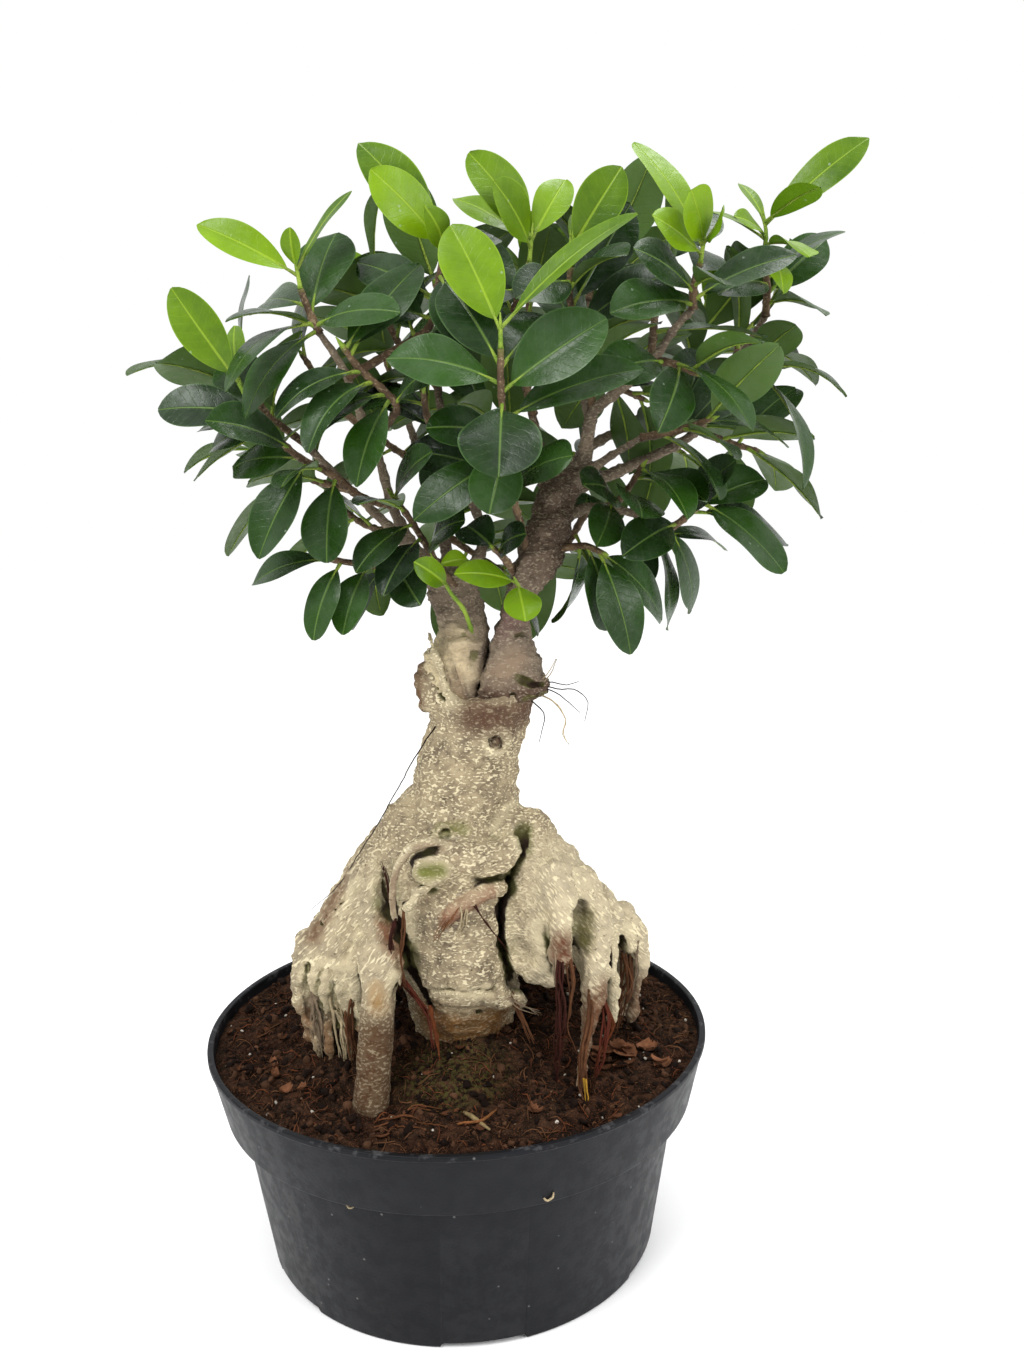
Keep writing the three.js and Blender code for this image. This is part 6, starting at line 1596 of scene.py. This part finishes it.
print("faces of a lump:", len(LUMP[1]))

# %% Crumbs and perlite
CRUMBS, PERLITE_GRAINS = 1900, 70
CRUMB_COLOUR, CHIP_COLOUR = np.array(paint(24, 15, 11)[:3]), np.array(paint(92, 64, 46)[:3])
PERLITE_COLOUR = np.array(paint(214, 206, 192)[:3])
litter = Heap()
random = np.random.default_rng(11)
for _ in range(CRUMBS):
    x, y = soil_spot(random)
    size = 0.5 + 1.3 * random.random() ** 2.5
    points, faces = dented_lump(random, size)
    shade = random.uniform(0.5, 1.3)
    colour = CRUMB_COLOUR if random.random() < 0.7 else CHIP_COLOUR
    litter.add(points + (x, y, soil_surface(x, y) + size * 0.3), faces, tint=colour * shade)
for _ in range(PERLITE_GRAINS):
    x, y = soil_spot(random)
    size = random.uniform(0.3, 0.8)
    points, faces = dented_lump(random, size)
    litter.add(points + (x, y, soil_surface(x, y) + size * 0.5), faces, tint=PERLITE_COLOUR)
crumbs = litter.make("soil_crumbs", "peat_soil", [strand_fibre])
print("crumb faces:", len(crumbs.data.polygons))

# %% Fibres of the peat
FIBRES, FIBRE_REACH = 1500, 110
fibres = Heap()


def on_soil(*spots):
    """Points [x, y, height over the soil, radius] as points of a strand."""
    return [[x, y, soil_surface(x, y) + height, radius] for x, y, height, radius in spots]


for _ in range(FIBRES):
    x, y = soil_spot(random)
    turn, length = random.uniform(0, 2 * math.pi), 2 + 9 * random.random() ** 2
    bend, rise = random.uniform(-0.8, 0.8), random.uniform(0.2, 1.6)
    radius = random.uniform(0.12, 0.34)
    path = []
    for t in np.linspace(0, 1, 5):
        px = x + length * (t - 0.5) * math.cos(turn + bend * t)
        py = y + length * (t - 0.5) * math.sin(turn + bend * t)
        if math.hypot(px, py) > FIBRE_REACH:
            px, py = px * 0.95, py * 0.95
        path.append((px, py, 0.3 + rise * math.sin(math.pi * t), radius * (1.1 - 0.5 * t)))
    warm = random.random()
    colour = paint(108, 74, 50) if warm < 0.5 else paint(112, 64, 40) if warm < 0.75 else paint(52, 32, 22)
    fibres.add(*tube(on_soil(*path), 4), tint=np.array(colour[:3]) * random.uniform(0.6, 1.3))
print("fibres:", FIBRES)

# %% Husks
HUSK_ROWS, HUSK_COLUMNS, HUSK_THICKNESS = 9, 5, 0.35
HUSKS = [  # x, y, length, width
    (66, -45, 13, 3.4), (72, -50, 11, 3), (78, -42, 12, 3.2), (70, -38, 10, 2.6), (84, -36, 9, 2.6),
    (60, -50, 9, 2.4), (88, -50, 9, 2.6), (-80, -40, 8, 2), (-70, -60, 7, 2), (30, -84, 7, 1.8),
]
SMALL_HUSKS = 60


def husk(spot, length, width, curl, turn, lean, colour):
    """A small curled shell, such as a bud scale or a chip of bark."""
    points = []
    for t in np.linspace(0, 1, HUSK_ROWS):
        wide = width * math.sin(math.pi * (0.08 + 0.84 * t)) ** 0.7
        for u in np.linspace(-1, 1, HUSK_COLUMNS):
            points.append([length * (t - 0.5), wide * u, curl * (u * u * 0.6 + 4 * (t - 0.5) ** 2)])
    points = np.array(points)
    spin = np.array(Matrix.Rotation(turn, 3, "Z") @ Matrix.Rotation(lean, 3, "X"))
    faces = grid_quads(HUSK_ROWS, HUSK_COLUMNS)[:, [0, 3, 2, 1]]
    for sheet, order in ((points, faces), (points - (0, 0, HUSK_THICKNESS), faces[:, ::-1])):
        fibres.add(sheet @ spin.T + spot, order, tint=np.array(colour[:3]) * random.uniform(0.8, 1.2))


for x, y, length, width in HUSKS:
    for _ in range(2):
        at_x, at_y = x + random.uniform(-4, 4), y + random.uniform(-4, 4)
        husk((at_x, at_y, soil_surface(at_x, at_y) + 1.6), length * random.uniform(0.7, 1.1), width,
             random.uniform(0.8, 2.2), random.uniform(0, 6.3), random.uniform(-0.5, 0.5), paint(132, 88, 62))
for _ in range(SMALL_HUSKS):
    x, y = soil_spot(random)
    husk((x, y, soil_surface(x, y) + 0.8), random.uniform(3, 6), random.uniform(0.8, 1.6), random.uniform(0.3, 1.2),
         random.uniform(0, 6.3), random.uniform(-0.6, 0.6), paint(92, 58, 38))
print("husks:", 2 * len(HUSKS) + SMALL_HUSKS)

# %% Long fibres on the soil and curls on the pot
strand(fibres, on_soil((1, -82, 1.5, 0.7), (5, -88, 1.2, 1.1), (11, -95, 1, 0.5)), paint(172, 150, 106), random, 0.3)
strand(fibres, on_soil((-2, -92, 1, 0.5), (8, -90, 1.8, 0.7), (14, -84, 1.4, 0.4)), paint(150, 98, 58), random, 0.6)
for _ in range(9):
    x, y, lean = random.uniform(-36, -14), random.uniform(-88, -78), random.uniform(-6, 4)
    strand(fibres, on_soil((x, y, 0.4, 0.35), (x + 6, y + lean / 2, 1.2, 0.3), (x + 13, y + lean, 0.4, 0.2)),
           paint(120, 76, 48), random, 1.3)
for curl in ([[-49.5, -88.8, 74, 0.5], [-48, -90, 71, 0.5], [-46, -91.2, 67.5, 0.5], [-44, -92.2, 68.5, 0.3]],
             [[31, -104.4, 76, 0.4], [32.5, -104.2, 74.4, 0.5], [34.6, -104, 75.6, 0.5], [35, -104.2, 78, 0.3]]):
    strand(fibres, curl, PALE, random, 0.2)
soil_fibres = fibres.make("soil_fibres", "peat_soil", [strand_fibre])
print("fibre faces:", len(soil_fibres.data.polygons))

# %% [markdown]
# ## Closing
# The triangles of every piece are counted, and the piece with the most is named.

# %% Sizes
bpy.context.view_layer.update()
totals = {o.name: sum(len(face.vertices) - 2 for face in o.data.polygons)
          for o in bpy.data.objects if o.type == "MESH" and o.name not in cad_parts}
print("triangles:", sum(totals.values()), "most in one piece:", max(totals.items(), key=lambda pair: pair[1]))
